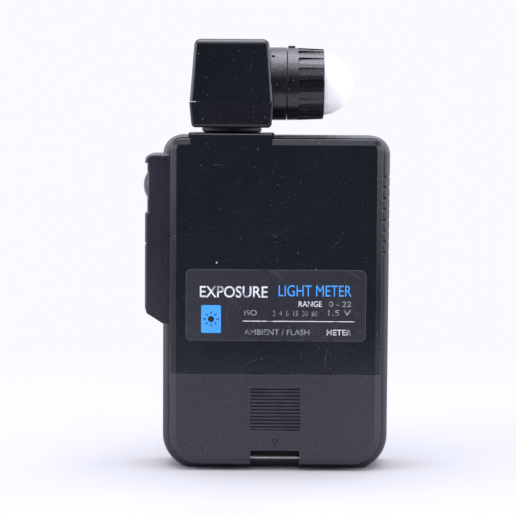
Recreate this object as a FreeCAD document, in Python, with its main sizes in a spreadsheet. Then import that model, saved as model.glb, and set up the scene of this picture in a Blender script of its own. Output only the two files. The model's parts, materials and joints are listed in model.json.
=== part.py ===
import FreeCAD, Part

import math
import os
import re

import Sketcher

# Handheld light meter: a flat two-shell case with a side housing, and a swivelling head that carries
# the sensor under a white diffusing dome.
#
# Frame, in millimetres: +Z up towards the head, +X to the right as seen from behind the meter, and
# -Y out of the rear cover. The origin is the centre of the flat foot, at mid depth of the case.
# Heights in the table are measured from a datum line just above the foot, inside the battery door's
# lower edge; every finished sub-part is raised by foot_drop, which brings the foot itself to zero.

DIMENSIONS = [
    # alias, value, what it is
    ("case_width", 72.7, "front case"),
    ("case_height", 106.5, "top of the front case"),
    ("foot_drop", 1.9, "datum line down to the flat foot"),
    ("half_depth", 12.0, "rear face to mid depth, and mid depth to front face"),
    ("rim", 6.5, "mid depth to the rim plane, where the rear cover rises out of the case"),
    ("case_wall", 2.0, "front wall of the case"),
    ("side_wall", 2.6, "side walls of the case"),
    ("foot_corner", 11.7, "outer corner radius at the foot"),
    ("top_corner", 6.0, "outer corner radius at the top"),
    ("rim_round", 2.6, "rounding of the case's rear edge"),
    ("front_round", 2.4, "rounding of the case's front edge"),
    ("cover_side", 2.6, "step from the case's side to the rear cover's side"),
    ("cover_top", 1.05, "step from the case's top to the rear cover's top"),
    ("cover_foot", 1.15, "datum line up to the battery door's lower edge"),
    ("cover_wall", 1.7, "wall of the rear cover and battery door"),
    ("bevel_width", 1.9, "sloping border of the rear cover, across"),
    ("bevel_depth", 0.85, "sloping border of the rear cover, fall"),
    ("cover_gap", 0.3, "gap between the rear cover and the case around it"),
    ("tongue", 1.8, "depth of the rear cover inside the case's rim"),
    ("seam", 30.55, "height of the joint between rear cover and battery door"),
    ("seam_gap", 0.2, "gap at that joint"),
    ("swivel_x", -14.5, "swivel axis, left of the case's middle"),
    ("shoulder_width", 26.0, "raised shoulder under the head"),
    ("shoulder_top", 107.2, "top of the shoulder"),
    ("side_reach", 5.8, "side housing, out from the case"),
    ("side_top", 100.4, "top of the side housing"),
    ("side_foot", 45.85, "foot of the side housing"),
    ("facet_top", 56.2, "upper end of the sloping facet at the side housing's foot"),
    ("facet_fall", 0.586, "depth that the facet gains for each step down"),
    ("side_front", 9.0, "front face of the side housing"),
    ("side_skin", 2.0, "wall of the side housing"),
    ("button_z", 90.2, "height of the measuring button"),
    ("button_y", 0.6, "depth of the measuring button's axis"),
    ("button_radius", 4.9, "measuring button"),
    ("button_crown", 1.75, "height of the measuring button's dome"),
    ("button_travel", 0.8, "travel of the measuring button"),
    ("recess_above", 7.2, "flat recess round the measuring button, above its axis"),
    ("recess_below", 8.9, "flat recess round the measuring button, below its axis"),
    ("recess_depth", 1.1, "depth of that recess"),
    ("socket_z", 62.65, "height of the flash cord socket"),
    ("socket_radius", 3.5, "outside of the flash cord socket"),
    ("socket_bore", 2.0, "radius that takes the cord's sleeve"),
    ("socket_post", 1.25, "radius of the post inside the cord's sleeve"),
    ("rib_pitch", 3.46, "pitch of the finger grooves"),
    ("rib_first", 69.35, "height of the lowest finger groove"),
    ("rib_radius", 1.2, "radius of a finger groove"),
    ("rib_depth", 0.18, "depth of a finger groove in the side"),
    ("rib_notch", 0.45, "depth of a finger groove where it crosses the rim"),
    ("rib_reach", 2.5, "how far a finger groove reaches across the rim"),
    ("window_width", 56.0, "display window"),
    ("window_height", 33.0, "display window"),
    ("window_z", 78.0, "middle of the display window"),
    ("window_sheet", 1.0, "thickness of the display window"),
    ("window_frame", 3.3, "ledge under the window's edge"),
    ("key_pitch", 16.0, "key spacing across"),
    ("key_row", 12.0, "key spacing up and down"),
    ("key_z", 43.5, "middle of the two rows of keys"),
    ("key_width", 10.8, "key cap"),
    ("key_height", 5.8, "key cap"),
    ("key_proud", 0.9, "key cap above the front face"),
    ("key_travel", 0.6, "travel of a key"),
    ("key_round", 1.4, "corner radius of a key cap"),
    ("fit", 0.2, "gap around a moving button or key"),
    ("board_y", 2.4, "rear face of the main board"),
    ("board_sheet", 1.6, "thickness of the main board"),
    ("cover_screw_x", 25.4, "case screws under the name plate"),
    ("cover_screw_z", 56.0, "case screws under the name plate"),
    ("tray_screw_x", 22.0, "screws in the battery bay"),
    ("tray_screw_z", 26.1, "screws in the battery bay"),
    ("board_screw_x", 28.8, "screws that hold the main board"),
    ("board_screw_z", 34.4, "screws that hold the main board"),
    ("cell_radius", 7.25, "AA cell"),
    ("cell_length", 50.5, "AA cell with its nub"),
    ("cell_y", -2.2, "axis of the AA cell"),
    ("cell_z", 15.8, "axis of the AA cell"),
    ("notch_width", 15.8, "strap notch in the battery door"),
    ("notch_top", 5.7, "top of the strap notch"),
    ("bar_radius", 0.75, "strap bar"),
    ("bar_z", 2.95, "height of the strap bar"),
    ("bar_y", -8.2, "depth of the strap bar"),
    ("grip_width", 16.0, "ribbed thumb patch of the battery door"),
    ("grip_low", 12.2, "lower edge of the thumb patch"),
    ("grip_pitch", 1.12, "pitch of its ridges"),
    ("grip_depth", 0.7, "depth of its ridges"),
    ("plate_width", 57.5, "name plate"),
    ("plate_height", 22.9, "name plate"),
    ("plate_z", 52.5, "middle of the name plate"),
    ("plate_sink", 0.15, "how far the name plate is let in"),
    ("plate_sheet", 0.25, "thickness of the name plate"),
    ("head_foot", 108.95, "underside of the head"),
    ("head_belt", 117.0, "widest level of the head, where its two shells meet"),
    ("head_crown", 136.95, "top of the head"),
    ("head_half_width", 13.4, "swivel axis to the head's sides, at the belt"),
    ("head_half_depth", 12.8, "swivel axis to the head's rear, at the belt"),
    ("lip_sheet", 0.9, "lip of the head's lower shell, inside the upper shell"),
    ("lean_crown", 1.5, "how far each side leans in by the crown"),
    ("lean_foot", 0.75, "how far each side leans in by the foot"),
    ("head_corner", 1.3, "upright corners of the head"),
    ("crown_round", 2.1, "rounding of the head's top edge"),
    ("foot_round", 1.4, "rounding of the head's lower edge"),
    ("lens_z", 122.95, "axis of the collar, ring and dome"),
    ("collar_radius", 11.7, "fixed collar on the head"),
    ("collar_end", 3.0, "outer end of the fixed collar"),
    ("ring_end", 14.9, "outer end of the dome ring"),
    ("ring_end_radius", 11.2, "dome ring at its outer end"),
    ("ring_bore", 10.4, "inside of the dome ring"),
    ("spigot_radius", 9.6, "collar's spigot inside the dome ring"),
    ("spigot_bore", 8.0, "inside of the spigot"),
    ("flute_start", 6.6, "inner end of the ring's grip flutes"),
    ("flute_width", 2.6, "width of a grip flute"),
    ("flute_floor", 10.85, "radius of a flute's floor"),
    ("dome_radius", 9.9, "diffusing dome"),
    ("dome_wall", 1.2, "wall of the dome"),
    ("dome_x", 14.35, "centre of the dome"),
    ("shaft_radius", 4.5, "swivel shaft"),
    ("shaft_bore", 3.0, "inside of the swivel shaft"),
    ("shaft_foot", 97.25, "lower end of the swivel shaft"),
    ("bush_radius", 5.3, "swivel bush"),
    ("neck_radius", 9.6, "neck disc under the head"),
    ("stop_z", 99.95, "height of the swivel's stop pin"),
    ("stop_reach", 7.9, "swivel axis to the tip of the stop pin"),
]

COUNT_RIBS = 8
COUNT_RIDGES = 12
COUNT_FLUTES = 18
FACET_SLANT = 0.54
KEY_NAMES = (
    ("up_key", -1, 1), ("down_key", 0, 1), ("mode_key", 1, 1),
    ("iso_key", -1, -1), ("memory_key", 0, -1), ("power_key", 1, -1),
)
BAYONET_TABS = 3
TAB_ANGLE = 26.0
RELEASE_TURN = 30.0
STOP_PIN_ANGLE = -135.0
STOP_POST_OFFSET = 3.48

doc = FreeCAD.newDocument("light_meter")
V = FreeCAD.Vector
ALIASES = {name for name, value, note in DIMENSIONS}
WORD = re.compile(r"[a-z][a-z_]*[a-z]|[a-z]")
finished = {}


# ---------------------------------------------------------------- sizes


def make_sheet():
    """The driving dimensions, one row each: alias, value, note."""
    sheet = doc.addObject("Spreadsheet::Sheet", "Dims")
    for row, (alias, value, note) in enumerate(DIMENSIONS, start=1):
        sheet.set(f"A{row}", alias)
        sheet.set(f"B{row}", str(value))
        sheet.setAlias(f"B{row}", alias)
        sheet.set(f"C{row}", note)
    doc.recompute()
    return sheet


dims = make_sheet()


def link(formula):
    """A formula in the sheet's aliases, written as an expression that FreeCAD can follow."""
    text = str(formula)
    return WORD.sub(lambda m: "Dims." + m.group(0) if m.group(0) in ALIASES else m.group(0), text)


def size(formula):
    """What a formula comes to now."""
    return float(dims.evalExpression(link(formula)))


def bind(thing, prop, formula):
    thing.setExpression(prop, link(formula))


# ---------------------------------------------------------------- sketches and features


class Sketch:
    """A sketch on one of a body's own origin planes, at a level along that plane's axis.

    Every corner is dimensioned from the sketch's origin, and every dimension follows the sheet.
    """

    SIDES = {"XY": 1, "XZ": -1, "YZ": 1}

    def __init__(self, body, plane, level="0", origin=("0", "0")):
        self.plane = plane
        self.obj = body.newObject("Sketcher::SketchObject", "Sketch")
        support = [f for f in body.Origin.OriginFeatures if f.Role == plane + "_Plane"][0]
        self.obj.AttachmentSupport = [(support, "")]
        self.obj.MapMode = "FlatFace"
        sign = "" if self.SIDES[plane] > 0 else "-"
        bind(self.obj, ".AttachmentOffset.Base.z", f"{sign}({level})")
        bind(self.obj, ".AttachmentOffset.Base.x", origin[0])
        bind(self.obj, ".AttachmentOffset.Base.y", origin[1])

    def dimension(self, kind, geometry, point, formula):
        value = size(formula)
        index = self.obj.addConstraint(Sketcher.Constraint(kind, -1, 1, geometry, point, value))
        bind(self.obj, f"Constraints[{index}]", formula)

    def place(self, geometry, point, x, y):
        self.dimension("DistanceX", geometry, point, x)
        self.dimension("DistanceY", geometry, point, y)

    def radius(self, geometry, formula):
        index = self.obj.addConstraint(Sketcher.Constraint("Radius", geometry, size(formula)))
        bind(self.obj, f"Constraints[{index}]", formula)

    def polygon(self, corners):
        first = self.obj.GeometryCount
        points = [V(size(x), size(y), 0) for x, y in corners]
        count = len(points)
        for i, start in enumerate(points):
            self.obj.addGeometry(Part.LineSegment(start, points[(i + 1) % count]), False)
        for i in range(count):
            after = first + (i + 1) % count
            self.obj.addConstraint(Sketcher.Constraint("Coincident", first + i, 2, after, 1))
        for i, (x, y) in enumerate(corners):
            self.place(first + i, 1, x, y)

    def box(self, left, low, right, high):
        self.polygon([(left, low), (right, low), (right, high), (left, high)])

    def circle(self, x, y, radius):
        middle = V(size(x), size(y), 0)
        index = self.obj.addGeometry(Part.Circle(middle, V(0, 0, 1), size(radius)), False)
        self.place(index, 3, x, y)
        self.radius(index, radius)

    def rounded(self, left, low, right, high, low_radius, high_radius=None):
        """A box with rounded corners: one radius for the two low ones, one for the two high ones."""
        high_radius = high_radius or low_radius
        x0, x1, y0, y1 = size(left), size(right), size(low), size(high)
        a, b = size(low_radius), size(high_radius)
        first = self.obj.GeometryCount
        lines = [
            ((x0 + a, y0), (x1 - a, y0)), ((x1, y0 + a), (x1, y1 - b)),
            ((x1 - b, y1), (x0 + b, y1)), ((x0, y1 - b), (x0, y0 + a)),
        ]
        arcs = [
            ((x1 - a, y0 + a), a, 270), ((x1 - b, y1 - b), b, 0),
            ((x0 + b, y1 - b), b, 90), ((x0 + a, y0 + a), a, 180),
        ]
        for (start, end), (middle, r, turn) in zip(lines, arcs):
            self.obj.addGeometry(Part.LineSegment(V(*start, 0), V(*end, 0)), False)
            round_ = Part.Circle(V(*middle, 0), V(0, 0, 1), r)
            begin = math.radians(turn)
            self.obj.addGeometry(Part.ArcOfCircle(round_, begin, begin + math.pi / 2), False)
        for i in range(8):
            after = first + (i + 1) % 8
            self.obj.addConstraint(Sketcher.Constraint("Tangent", first + i, 2, after, 1))
        for line in (first, first + 4):
            self.obj.addConstraint(Sketcher.Constraint("Horizontal", line))
        self.dimension("DistanceY", first, 1, low)
        self.dimension("DistanceX", first + 2, 1, right)
        self.dimension("DistanceY", first + 4, 1, high)
        self.dimension("DistanceX", first + 6, 2, left)
        for line in (first + 2, first + 6):
            self.obj.addConstraint(Sketcher.Constraint("Vertical", line))
        for i, formula in enumerate((low_radius, high_radius, high_radius, low_radius)):
            self.radius(first + 2 * i + 1, formula)

    def sector(self, inner, outer, middle_angle, width_angle):
        """A piece of a ring round the sketch's origin."""
        first = self.obj.GeometryCount
        begin = math.radians(middle_angle - width_angle / 2)
        end = math.radians(middle_angle + width_angle / 2)
        small, large = size(inner), size(outer)
        ray = [V(math.cos(a), math.sin(a), 0) for a in (begin, end)]
        for r in (small, large):
            circle = Part.Circle(V(0, 0, 0), V(0, 0, 1), r)
            self.obj.addGeometry(Part.ArcOfCircle(circle, begin, end), False)
        self.obj.addGeometry(Part.LineSegment(ray[0] * small, ray[0] * large), False)
        self.obj.addGeometry(Part.LineSegment(ray[1] * small, ray[1] * large), False)
        joins = ((0, 1, 2, 1), (1, 1, 2, 2), (0, 2, 3, 1), (1, 2, 3, 2))
        for a, point_a, b, point_b in joins:
            pair = (first + a, point_a, first + b, point_b)
            self.obj.addConstraint(Sketcher.Constraint("Coincident", *pair))
        for arc, formula in ((0, inner), (1, outer)):
            self.obj.addConstraint(Sketcher.Constraint("Coincident", first + arc, 3, -1, 1))
            self.radius(first + arc, formula)


def new_body(label, keep_it=True):
    body = doc.addObject("PartDesign::Body", label)
    body.Label = label
    if keep_it:
        finished[label] = body
    return body


def solid(body):
    doc.recompute()
    shape = body.Tip.Shape
    if shape.isNull():
        raise RuntimeError(f"{body.Label}: {body.Tip.Name} came to nothing: {body.Tip.getStatusString()}")
    return shape


def extrude(body, kind, sketch, low, high):
    feature = body.newObject("PartDesign::" + kind, kind)
    feature.Profile = sketch.obj
    along = Sketch.SIDES[sketch.plane] > 0
    feature.Reversed = (not along) if kind == "Pad" else along
    bind(feature, "Length", f"({high}) - ({low})")
    return feature


def pad(body, plane, low, high, draw, origin=("0", "0")):
    """Adds what draw() puts in a sketch, from level low to level high along the plane's axis."""
    sketch = Sketch(body, plane, low, origin)
    draw(sketch)
    return extrude(body, "Pad", sketch, low, high)


def cut(body, plane, low, high, draw, origin=("0", "0")):
    """Cuts what draw() puts in a sketch, from level low to level high along the plane's axis."""
    before = solid(body).Volume
    sketch = Sketch(body, plane, low, origin)
    draw(sketch)
    feature = extrude(body, "Pocket", sketch, low, high)
    if solid(body).Volume > before - 1e-6:
        raise RuntimeError(f"{body.Label}: a cut from {low} to {high} took nothing away")
    return feature


def revolve(body, kind, plane, draw, axis, origin=("0", "0")):
    """Turns what draw() puts in a sketch about that sketch's own axis, as a solid or as a cut."""
    sketch = Sketch(body, plane, "0", origin)
    draw(sketch)
    feature = body.newObject("PartDesign::" + kind, kind)
    feature.Profile = sketch.obj
    feature.ReferenceAxis = (sketch.obj, [axis])
    feature.Angle = 360
    return feature


def pattern(body, features, axis_sketch, axis, length, count):
    """Repeats features along an axis of one of the body's sketches, over a whole length."""
    row = body.newObject("PartDesign::LinearPattern", "LinearPattern")
    row.Originals = features
    row.Direction = (axis_sketch, [axis])
    bind(row, "Length", length)
    row.Occurrences = count
    body.Tip = row
    return row


def around(body, features, axis_sketch, axis, count):
    """Repeats features evenly round an axis of one of the body's sketches."""
    ring = body.newObject("PartDesign::PolarPattern", "PolarPattern")
    ring.Originals = features
    ring.Axis = (axis_sketch, [axis])
    ring.Angle = 360
    ring.Occurrences = count
    body.Tip = ring
    return ring


def edges_where(shape, wanted):
    return [f"Edge{i}" for i, edge in enumerate(shape.Edges, start=1) if wanted(edge)]


def soften(body, wanted, radius, kind="Fillet"):
    """Rounds or chamfers the edges of a body that a test picks out."""
    shape = solid(body)
    names = edges_where(shape, wanted)
    if not names:
        raise RuntimeError(f"{body.Label}: no edge to {kind.lower()}")
    base = body.Tip
    feature = body.newObject("PartDesign::" + kind, kind)
    feature.Base = (base, names)
    bind(feature, "Radius" if kind == "Fillet" else "Size", radius)
    body.Tip = feature
    solid(body)
    return feature


def near(a, b, slack=0.02):
    return abs(a - b) < slack


def lies_at(edge, axis, level, slack=0.02):
    """True if the whole edge is in the plane where x, y or z (axis 0, 1 or 2) equals level."""
    box = edge.BoundBox
    low = (box.XMin, box.YMin, box.ZMin)[axis]
    high = (box.XMax, box.YMax, box.ZMax)[axis]
    return near(low, level, slack) and near(high, level, slack)


def within(edge, x=None, y=None, z=None):
    """True if the edge's box lies inside the ranges given."""
    box = edge.BoundBox
    spans = ((x, box.XMin, box.XMax), (y, box.YMin, box.YMax), (z, box.ZMin, box.ZMax))
    return all(r is None or (r[0] - 0.02 <= low and high <= r[1] + 0.02) for r, low, high in spans)


# ---------------------------------------------------------------- primitives


def move(thing, x, y, z, rotation=None):
    if rotation:
        thing.Placement = FreeCAD.Placement(V(0, 0, 0), rotation)
    bind(thing, ".Placement.Base.x", x)
    bind(thing, ".Placement.Base.y", y)
    bind(thing, ".Placement.Base.z", z)
    return thing


def block(name, low, high):
    """A box between two corners."""
    thing = doc.addObject("Part::Box", name)
    for prop, i in (("Length", 0), ("Width", 1), ("Height", 2)):
        bind(thing, prop, f"({high[i]}) - ({low[i]})")
    return move(thing, *low)


TURNS = {
    "x": FreeCAD.Rotation(V(0, 1, 0), 90),
    "y": FreeCAD.Rotation(V(1, 0, 0), -90),
    "z": FreeCAD.Rotation(),
}


def rod(name, axis, start, length, radius):
    """A cylinder that starts at a point and runs along +X, +Y or +Z."""
    thing = doc.addObject("Part::Cylinder", name)
    bind(thing, "Radius", radius)
    bind(thing, "Height", length)
    return move(thing, *start, rotation=TURNS[axis])


def cone(name, axis, start, length, radius, end_radius):
    thing = doc.addObject("Part::Cone", name)
    bind(thing, "Radius1", radius)
    bind(thing, "Radius2", end_radius)
    bind(thing, "Height", length)
    return move(thing, *start, rotation=TURNS[axis])


def ball(name, centre, radius):
    thing = doc.addObject("Part::Sphere", name)
    bind(thing, "Radius", radius)
    return move(thing, *centre)


def less(name, base, tool):
    thing = doc.addObject("Part::Cut", name)
    thing.Base = base
    thing.Tool = tool
    return thing


def joined(name, pieces):
    thing = doc.addObject("Part::MultiFuse", name)
    thing.Shapes = pieces
    return thing


def group(name, pieces):
    thing = doc.addObject("Part::Compound", name)
    thing.Links = pieces
    return thing


def tube(name, axis, start, length, outer, inner):
    return less(name, rod(name + "_outer", axis, start, length, outer),
                rod(name + "_inner", axis, start, length, inner))


def keep(label, thing):
    """Makes a primitive or boolean a finished sub-part."""
    thing.Label = label
    finished[label] = thing
    return thing


def rounded_block(thing, wanted, radius):
    """Rounds some edges of a primitive or boolean."""
    doc.recompute()
    feature = doc.addObject("Part::Fillet", thing.Name + "_rounded")
    feature.Base = thing
    picked = [i for i, edge in enumerate(thing.Shape.Edges, start=1) if wanted(edge)]
    feature.Edges = [(i, size(radius), size(radius)) for i in picked]
    return feature


# ---------------------------------------------------------------- case


def case_outline(sketch):
    sketch.rounded("-case_width / 2", "-foot_drop", "case_width / 2", "case_height",
                   "foot_corner", "top_corner")


def on_shoulder(edge):
    return lies_at(edge, 2, size("shoulder_top"))


def front_case():
    body = new_body("front_case")
    rear, front = "-rim", "half_depth"
    pad(body, "XZ", rear, front, case_outline)
    soften(body, lambda e: lies_at(e, 1, size(front)), "front_round")
    soften(body, lambda e: lies_at(e, 1, size(rear)), "rim_round")
    side_housing(body)
    pad(body, "XZ", rear, "side_front + 0.6", lambda s: s.box(
        "swivel_x - shoulder_width / 2 - 0.7", "case_height - 3",
        "swivel_x + shoulder_width / 2 + 0.7", "shoulder_top"))
    soften(body, lambda e: on_shoulder(e) and e.BoundBox.YMax > 0.1 - size("rim"), "0.3")
    case_hollow(body)
    case_openings(body)
    case_bosses(body)
    case_grooves(body)
    return body


def side_housing(body):
    """The housing on the left side, which holds the measuring button and the flash cord socket."""
    inner, outer = "-case_width / 2 + 2.1", "-case_width / 2 - side_reach"
    pad(body, "XZ", "-rim", "side_front", lambda s: s.polygon([
        (inner, "side_foot"), ("-case_width / 2", "side_foot"),
        (outer + " + 0.6", "side_foot + 3.3"), (outer, "side_foot + 5.3"),
        (outer, "side_top"), (inner, "side_top")]))
    x_outer, z_top = size(outer), size("side_top")
    soften(body, lambda e: within(e, x=(x_outer, x_outer), z=(z_top, z_top)), "2.4")
    soften(body, lambda e: lies_at(e, 1, -size("rim")) and within(
        e, x=(x_outer, size(inner)), z=(size("side_foot") + 5, z_top)), "1")
    housing_facet(body, outer)


def housing_facet(body, outer):
    """Slopes the rear face away over the housing's foot, along the slant of its lower edge."""
    facet = cut(body, "YZ", outer + " - 0.1", "-case_width / 2 - 0.05", lambda s: s.polygon([
        ("-rim - 0.1", "facet_top + 0.1 / facet_fall"), ("-rim - 0.1", "facet_top - 9"),
        ("-rim + 9 * facet_fall", "facet_top - 9")]))
    facet.UseCustomVector = True
    facet.AlongSketchNormal = True
    facet.Direction = V(1, 0, -FACET_SLANT)
    solid(body)


def case_hollow(body):
    cut(body, "XZ", "-rim", "-rim + tongue + 0.4", lambda s: cover_outline(s, "cover_gap"))
    cut(body, "XZ", "-rim", "half_depth - case_wall", lambda s: s.rounded(
        "-case_width / 2 + side_wall", "2.4", "case_width / 2 - side_wall", "case_height - 2.2",
        "foot_corner - side_wall", "top_corner - side_wall"))
    cut(body, "XZ", "-rim + 1.1", "side_front - 1.8", lambda s: s.box(
        "-case_width / 2 - side_reach + side_skin", "socket_z - 5.5",
        "-case_width / 2 + side_wall + 0.4", "side_top - 2"))
    cut(body, "XZ", "-rim", "-3.3", lambda s: s.box(
        "-notch_width / 2", "-foot_drop - 1", "notch_width / 2", "2.6"))


def key_spot(column, row):
    return f"{column} * key_pitch", f"key_z + {row} * key_row / 2"


def key_outline(sketch, column, row, grow="0"):
    x, z = key_spot(column, row)
    sketch.rounded(
        f"{x} - key_width / 2 - ({grow})", f"{z} - key_height / 2 - ({grow})",
        f"{x} + key_width / 2 + ({grow})", f"{z} + key_height / 2 + ({grow})", f"key_round + ({grow})")


def case_openings(body):
    front, inside = "half_depth", "half_depth - case_wall"

    def window(sketch, shrink, corner):
        sketch.rounded(
            f"-window_width / 2 + {shrink}", f"window_z - window_height / 2 + {shrink}",
            f"window_width / 2 - {shrink}", f"window_z + window_height / 2 - {shrink}", corner)

    cut(body, "XZ", "half_depth - window_sheet - 0.1", front, lambda s: window(s, "0", "2.2"))
    cut(body, "XZ", inside, front, lambda s: window(s, "window_frame", "0.8"))

    def keys(sketch):
        for name, column, row in KEY_NAMES:
            key_outline(sketch, column, row, "fit")

    cut(body, "XZ", inside, front, keys)
    cut(body, "XY", "case_height - 3", "shoulder_top", lambda s: s.circle("swivel_x", "0", "bush_radius"))


def case_bosses(body):
    def bosses(sketch, x, z, radius):
        sketch.circle(f"-{x}", z, radius)
        sketch.circle(x, z, radius)

    inside = "half_depth - case_wall + 0.2"
    for x, z, level in (("cover_screw_x", "cover_screw_z", "-2"),
                        ("tray_screw_x", "tray_screw_z", "6.8"),
                        ("board_screw_x", "board_screw_z", "board_y + board_sheet + 0.05")):
        pad(body, "XZ", level, inside, lambda s: bosses(s, x, z, "2.3"))
        cut(body, "XZ", level, "half_depth - case_wall - 0.2", lambda s: bosses(s, x, z, "0.9"))

    def stop_posts(sketch):
        for side in (-1, 1):
            sketch.circle(f"swivel_x + {side} * {STOP_POST_OFFSET}", "5.94", "0.9")

    pad(body, "XY", "stop_z - 1.2", "case_height - 2", stop_posts)


def case_grooves(body):
    """Finger grooves, the recess round the measuring button, and the openings in the side housing."""
    outer = "-case_width / 2 - side_reach"
    cut(body, "XZ", "-rim", "side_front - 1.6", lambda s: s.box(
        outer + " - 1", "button_z - recess_below", outer + " + recess_depth", "button_z + recess_above"))
    recess_wall = size(outer + " + recess_depth")
    soften(body, lambda e: lies_at(e, 1, -size("rim")) and lies_at(e, 0, recess_wall), "0.3")
    cut(body, "YZ", outer + " - 1", outer + " + side_skin + 1",
        lambda s: s.circle("button_y", "button_z", "button_radius + fit"))
    cut(body, "YZ", outer + " - 1", outer + " + 1.2",
        lambda s: s.circle("button_y", "socket_z", "socket_radius + 1.3"))
    cut(body, "YZ", outer, outer + " + side_skin + 1",
        lambda s: s.circle("button_y", "socket_z", "socket_radius + 0.1"))
    cut(body, "XZ", "-rim", "side_front", lambda s: s.polygon([
        (outer + " - 0.2", "socket_z + 8.3"), (outer + " + 0.45", "socket_z + 9"),
        (outer + " - 0.2", "socket_z + 9.7")]))
    groove = cut(body, "XZ", "-rim", "7.6", lambda s: s.circle(
        "case_width / 2 + rib_radius - rib_depth", "rib_first", "rib_radius"))
    pattern(body, [groove], groove.Profile[0], "V_Axis", f"rib_pitch * {COUNT_RIBS - 1}", COUNT_RIBS)
    solid(body)
    notch = cut(body, "YZ", "case_width / 2 - rib_reach", "case_width / 2 + 1", lambda s: s.circle(
        "-rim + rib_notch - rib_radius", "rib_first", "rib_radius"))
    pattern(body, [notch], notch.Profile[0], "V_Axis", f"rib_pitch * {COUNT_RIBS - 1}", COUNT_RIBS)


# ---------------------------------------------------------------- rear cover and battery door


def cover_outline(sketch, grow="0"):
    sketch.rounded(
        f"-case_width / 2 + cover_side - {grow}", f"cover_foot - {grow}",
        f"case_width / 2 - cover_side + {grow}", f"case_height - cover_top + {grow}",
        f"foot_corner - cover_side + 0.5 + {grow}", f"top_corner - cover_side + {grow}")


def inside_cover(sketch, low):
    sketch.rounded(
        "-case_width / 2 + cover_side + cover_wall", low,
        "case_width / 2 - cover_side - cover_wall", "case_height - cover_top - cover_wall", "1.2", "2")


def slope_border(body):
    """The sloping border of the rear cover, with its outer edge rounded over."""
    bevel = soften(body, lambda e: lies_at(e, 1, -size("half_depth")), "bevel_depth", "Chamfer")
    bevel.ChamferType = "Two distances"
    bind(bevel, "Size2", "bevel_width")
    soften(body, lambda e: lies_at(e, 1, size("-half_depth + bevel_depth")), "0.45")


def rear_cover():
    body = new_body("rear_cover")
    pad(body, "XZ", "-half_depth", "-rim + tongue", cover_outline)
    slope_border(body)
    cut(body, "XZ", "-half_depth", "-rim + tongue",
        lambda s: s.box("-50", "-5", "50", "seam + seam_gap / 2"))
    pad(body, "XZ", "-half_depth", "-rim - 0.05", lambda s: s.box(
        "swivel_x - shoulder_width / 2", "case_height - 8",
        "swivel_x + shoulder_width / 2", "shoulder_top"))
    soften(body, lambda e: on_shoulder(e) and e.BoundBox.YMin < -size("rim") - 0.1, "0.8")
    cut(body, "XZ", "-half_depth + cover_wall", "-rim + tongue", lambda s: inside_cover(s, "seam - 3"))
    cut(body, "XZ", "-rim - 0.05", "-rim + tongue", lambda s: s.box(
        "swivel_x - shoulder_width / 2 - 1.5", "case_height - 8",
        "swivel_x + shoulder_width / 2 + 1.5", "case_height"))

    def both(sketch, radius):
        sketch.circle("-cover_screw_x", "cover_screw_z", radius)
        sketch.circle("cover_screw_x", "cover_screw_z", radius)

    pad(body, "XZ", "-half_depth + cover_wall - 0.2", "-2.1", lambda s: both(s, "2.6"))
    cut(body, "XZ", "-half_depth", "-2.1", lambda s: both(s, "1.15"))
    cut(body, "XZ", "-half_depth", "-half_depth + 1.6", lambda s: both(s, "2.1"))
    cut(body, "XZ", "-half_depth", "-half_depth + plate_sink", lambda s: plate_outline(s, "0.1"))
    return body


def plate_outline(sketch, grow):
    sketch.rounded(
        f"-plate_width / 2 - {grow}", f"plate_z - plate_height / 2 - {grow}",
        f"plate_width / 2 + {grow}", f"plate_z + plate_height / 2 + {grow}", "1.7")


def name_plate():
    body = new_body("name_plate")
    pad(body, "XZ", "-half_depth + plate_sink - plate_sheet", "-half_depth + plate_sink - 0.01",
        lambda s: plate_outline(s, "0"))
    soften(body, lambda e: lies_at(e, 1, size("-half_depth + plate_sink - plate_sheet")), "0.08")


def battery_door():
    body = new_body("battery_door")
    inner = "-half_depth + cover_wall"
    pad(body, "XZ", "-half_depth", "-rim - 0.1", cover_outline)
    slope_border(body)
    cut(body, "XZ", "-half_depth", "-rim - 0.1", lambda s: s.box("-50", "seam - seam_gap / 2", "50", "120"))
    cut(body, "XZ", inner, "-rim - 0.1", lambda s: s.rounded(
        "-case_width / 2 + cover_side + cover_wall", "cover_foot + 1.6",
        "case_width / 2 - cover_side - cover_wall", "seam + 10", "foot_corner - cover_side - 1.2", "2"))
    tongue_low, tongue_y = "seam - 4", "-half_depth + cover_wall + 0.2"
    pad(body, "XZ", inner + " - 0.3", tongue_y + " + 0.7",
        lambda s: s.box("-12", tongue_low, "12", "seam - 0.4"))
    pad(body, "XZ", tongue_y, tongue_y + " + 0.7", lambda s: s.box("-12", tongue_low, "12", "seam + 2.4"))
    strap_notch(body)
    thumb_patch(body)
    door_rails(body)
    return body


def strap_notch(body):
    half = "notch_width / 2"
    cut(body, "XZ", "-half_depth", "-rim - 0.1", lambda s: s.rounded(
        "-" + half, "-3", half, "notch_top", "0.7"))
    cut(body, "XZ", "-half_depth + 1.8", "-rim - 0.1", lambda s: s.box(
        f"-{half} - 2.8", "0", half + " + 2.8", "notch_top + 1.6"))


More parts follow.
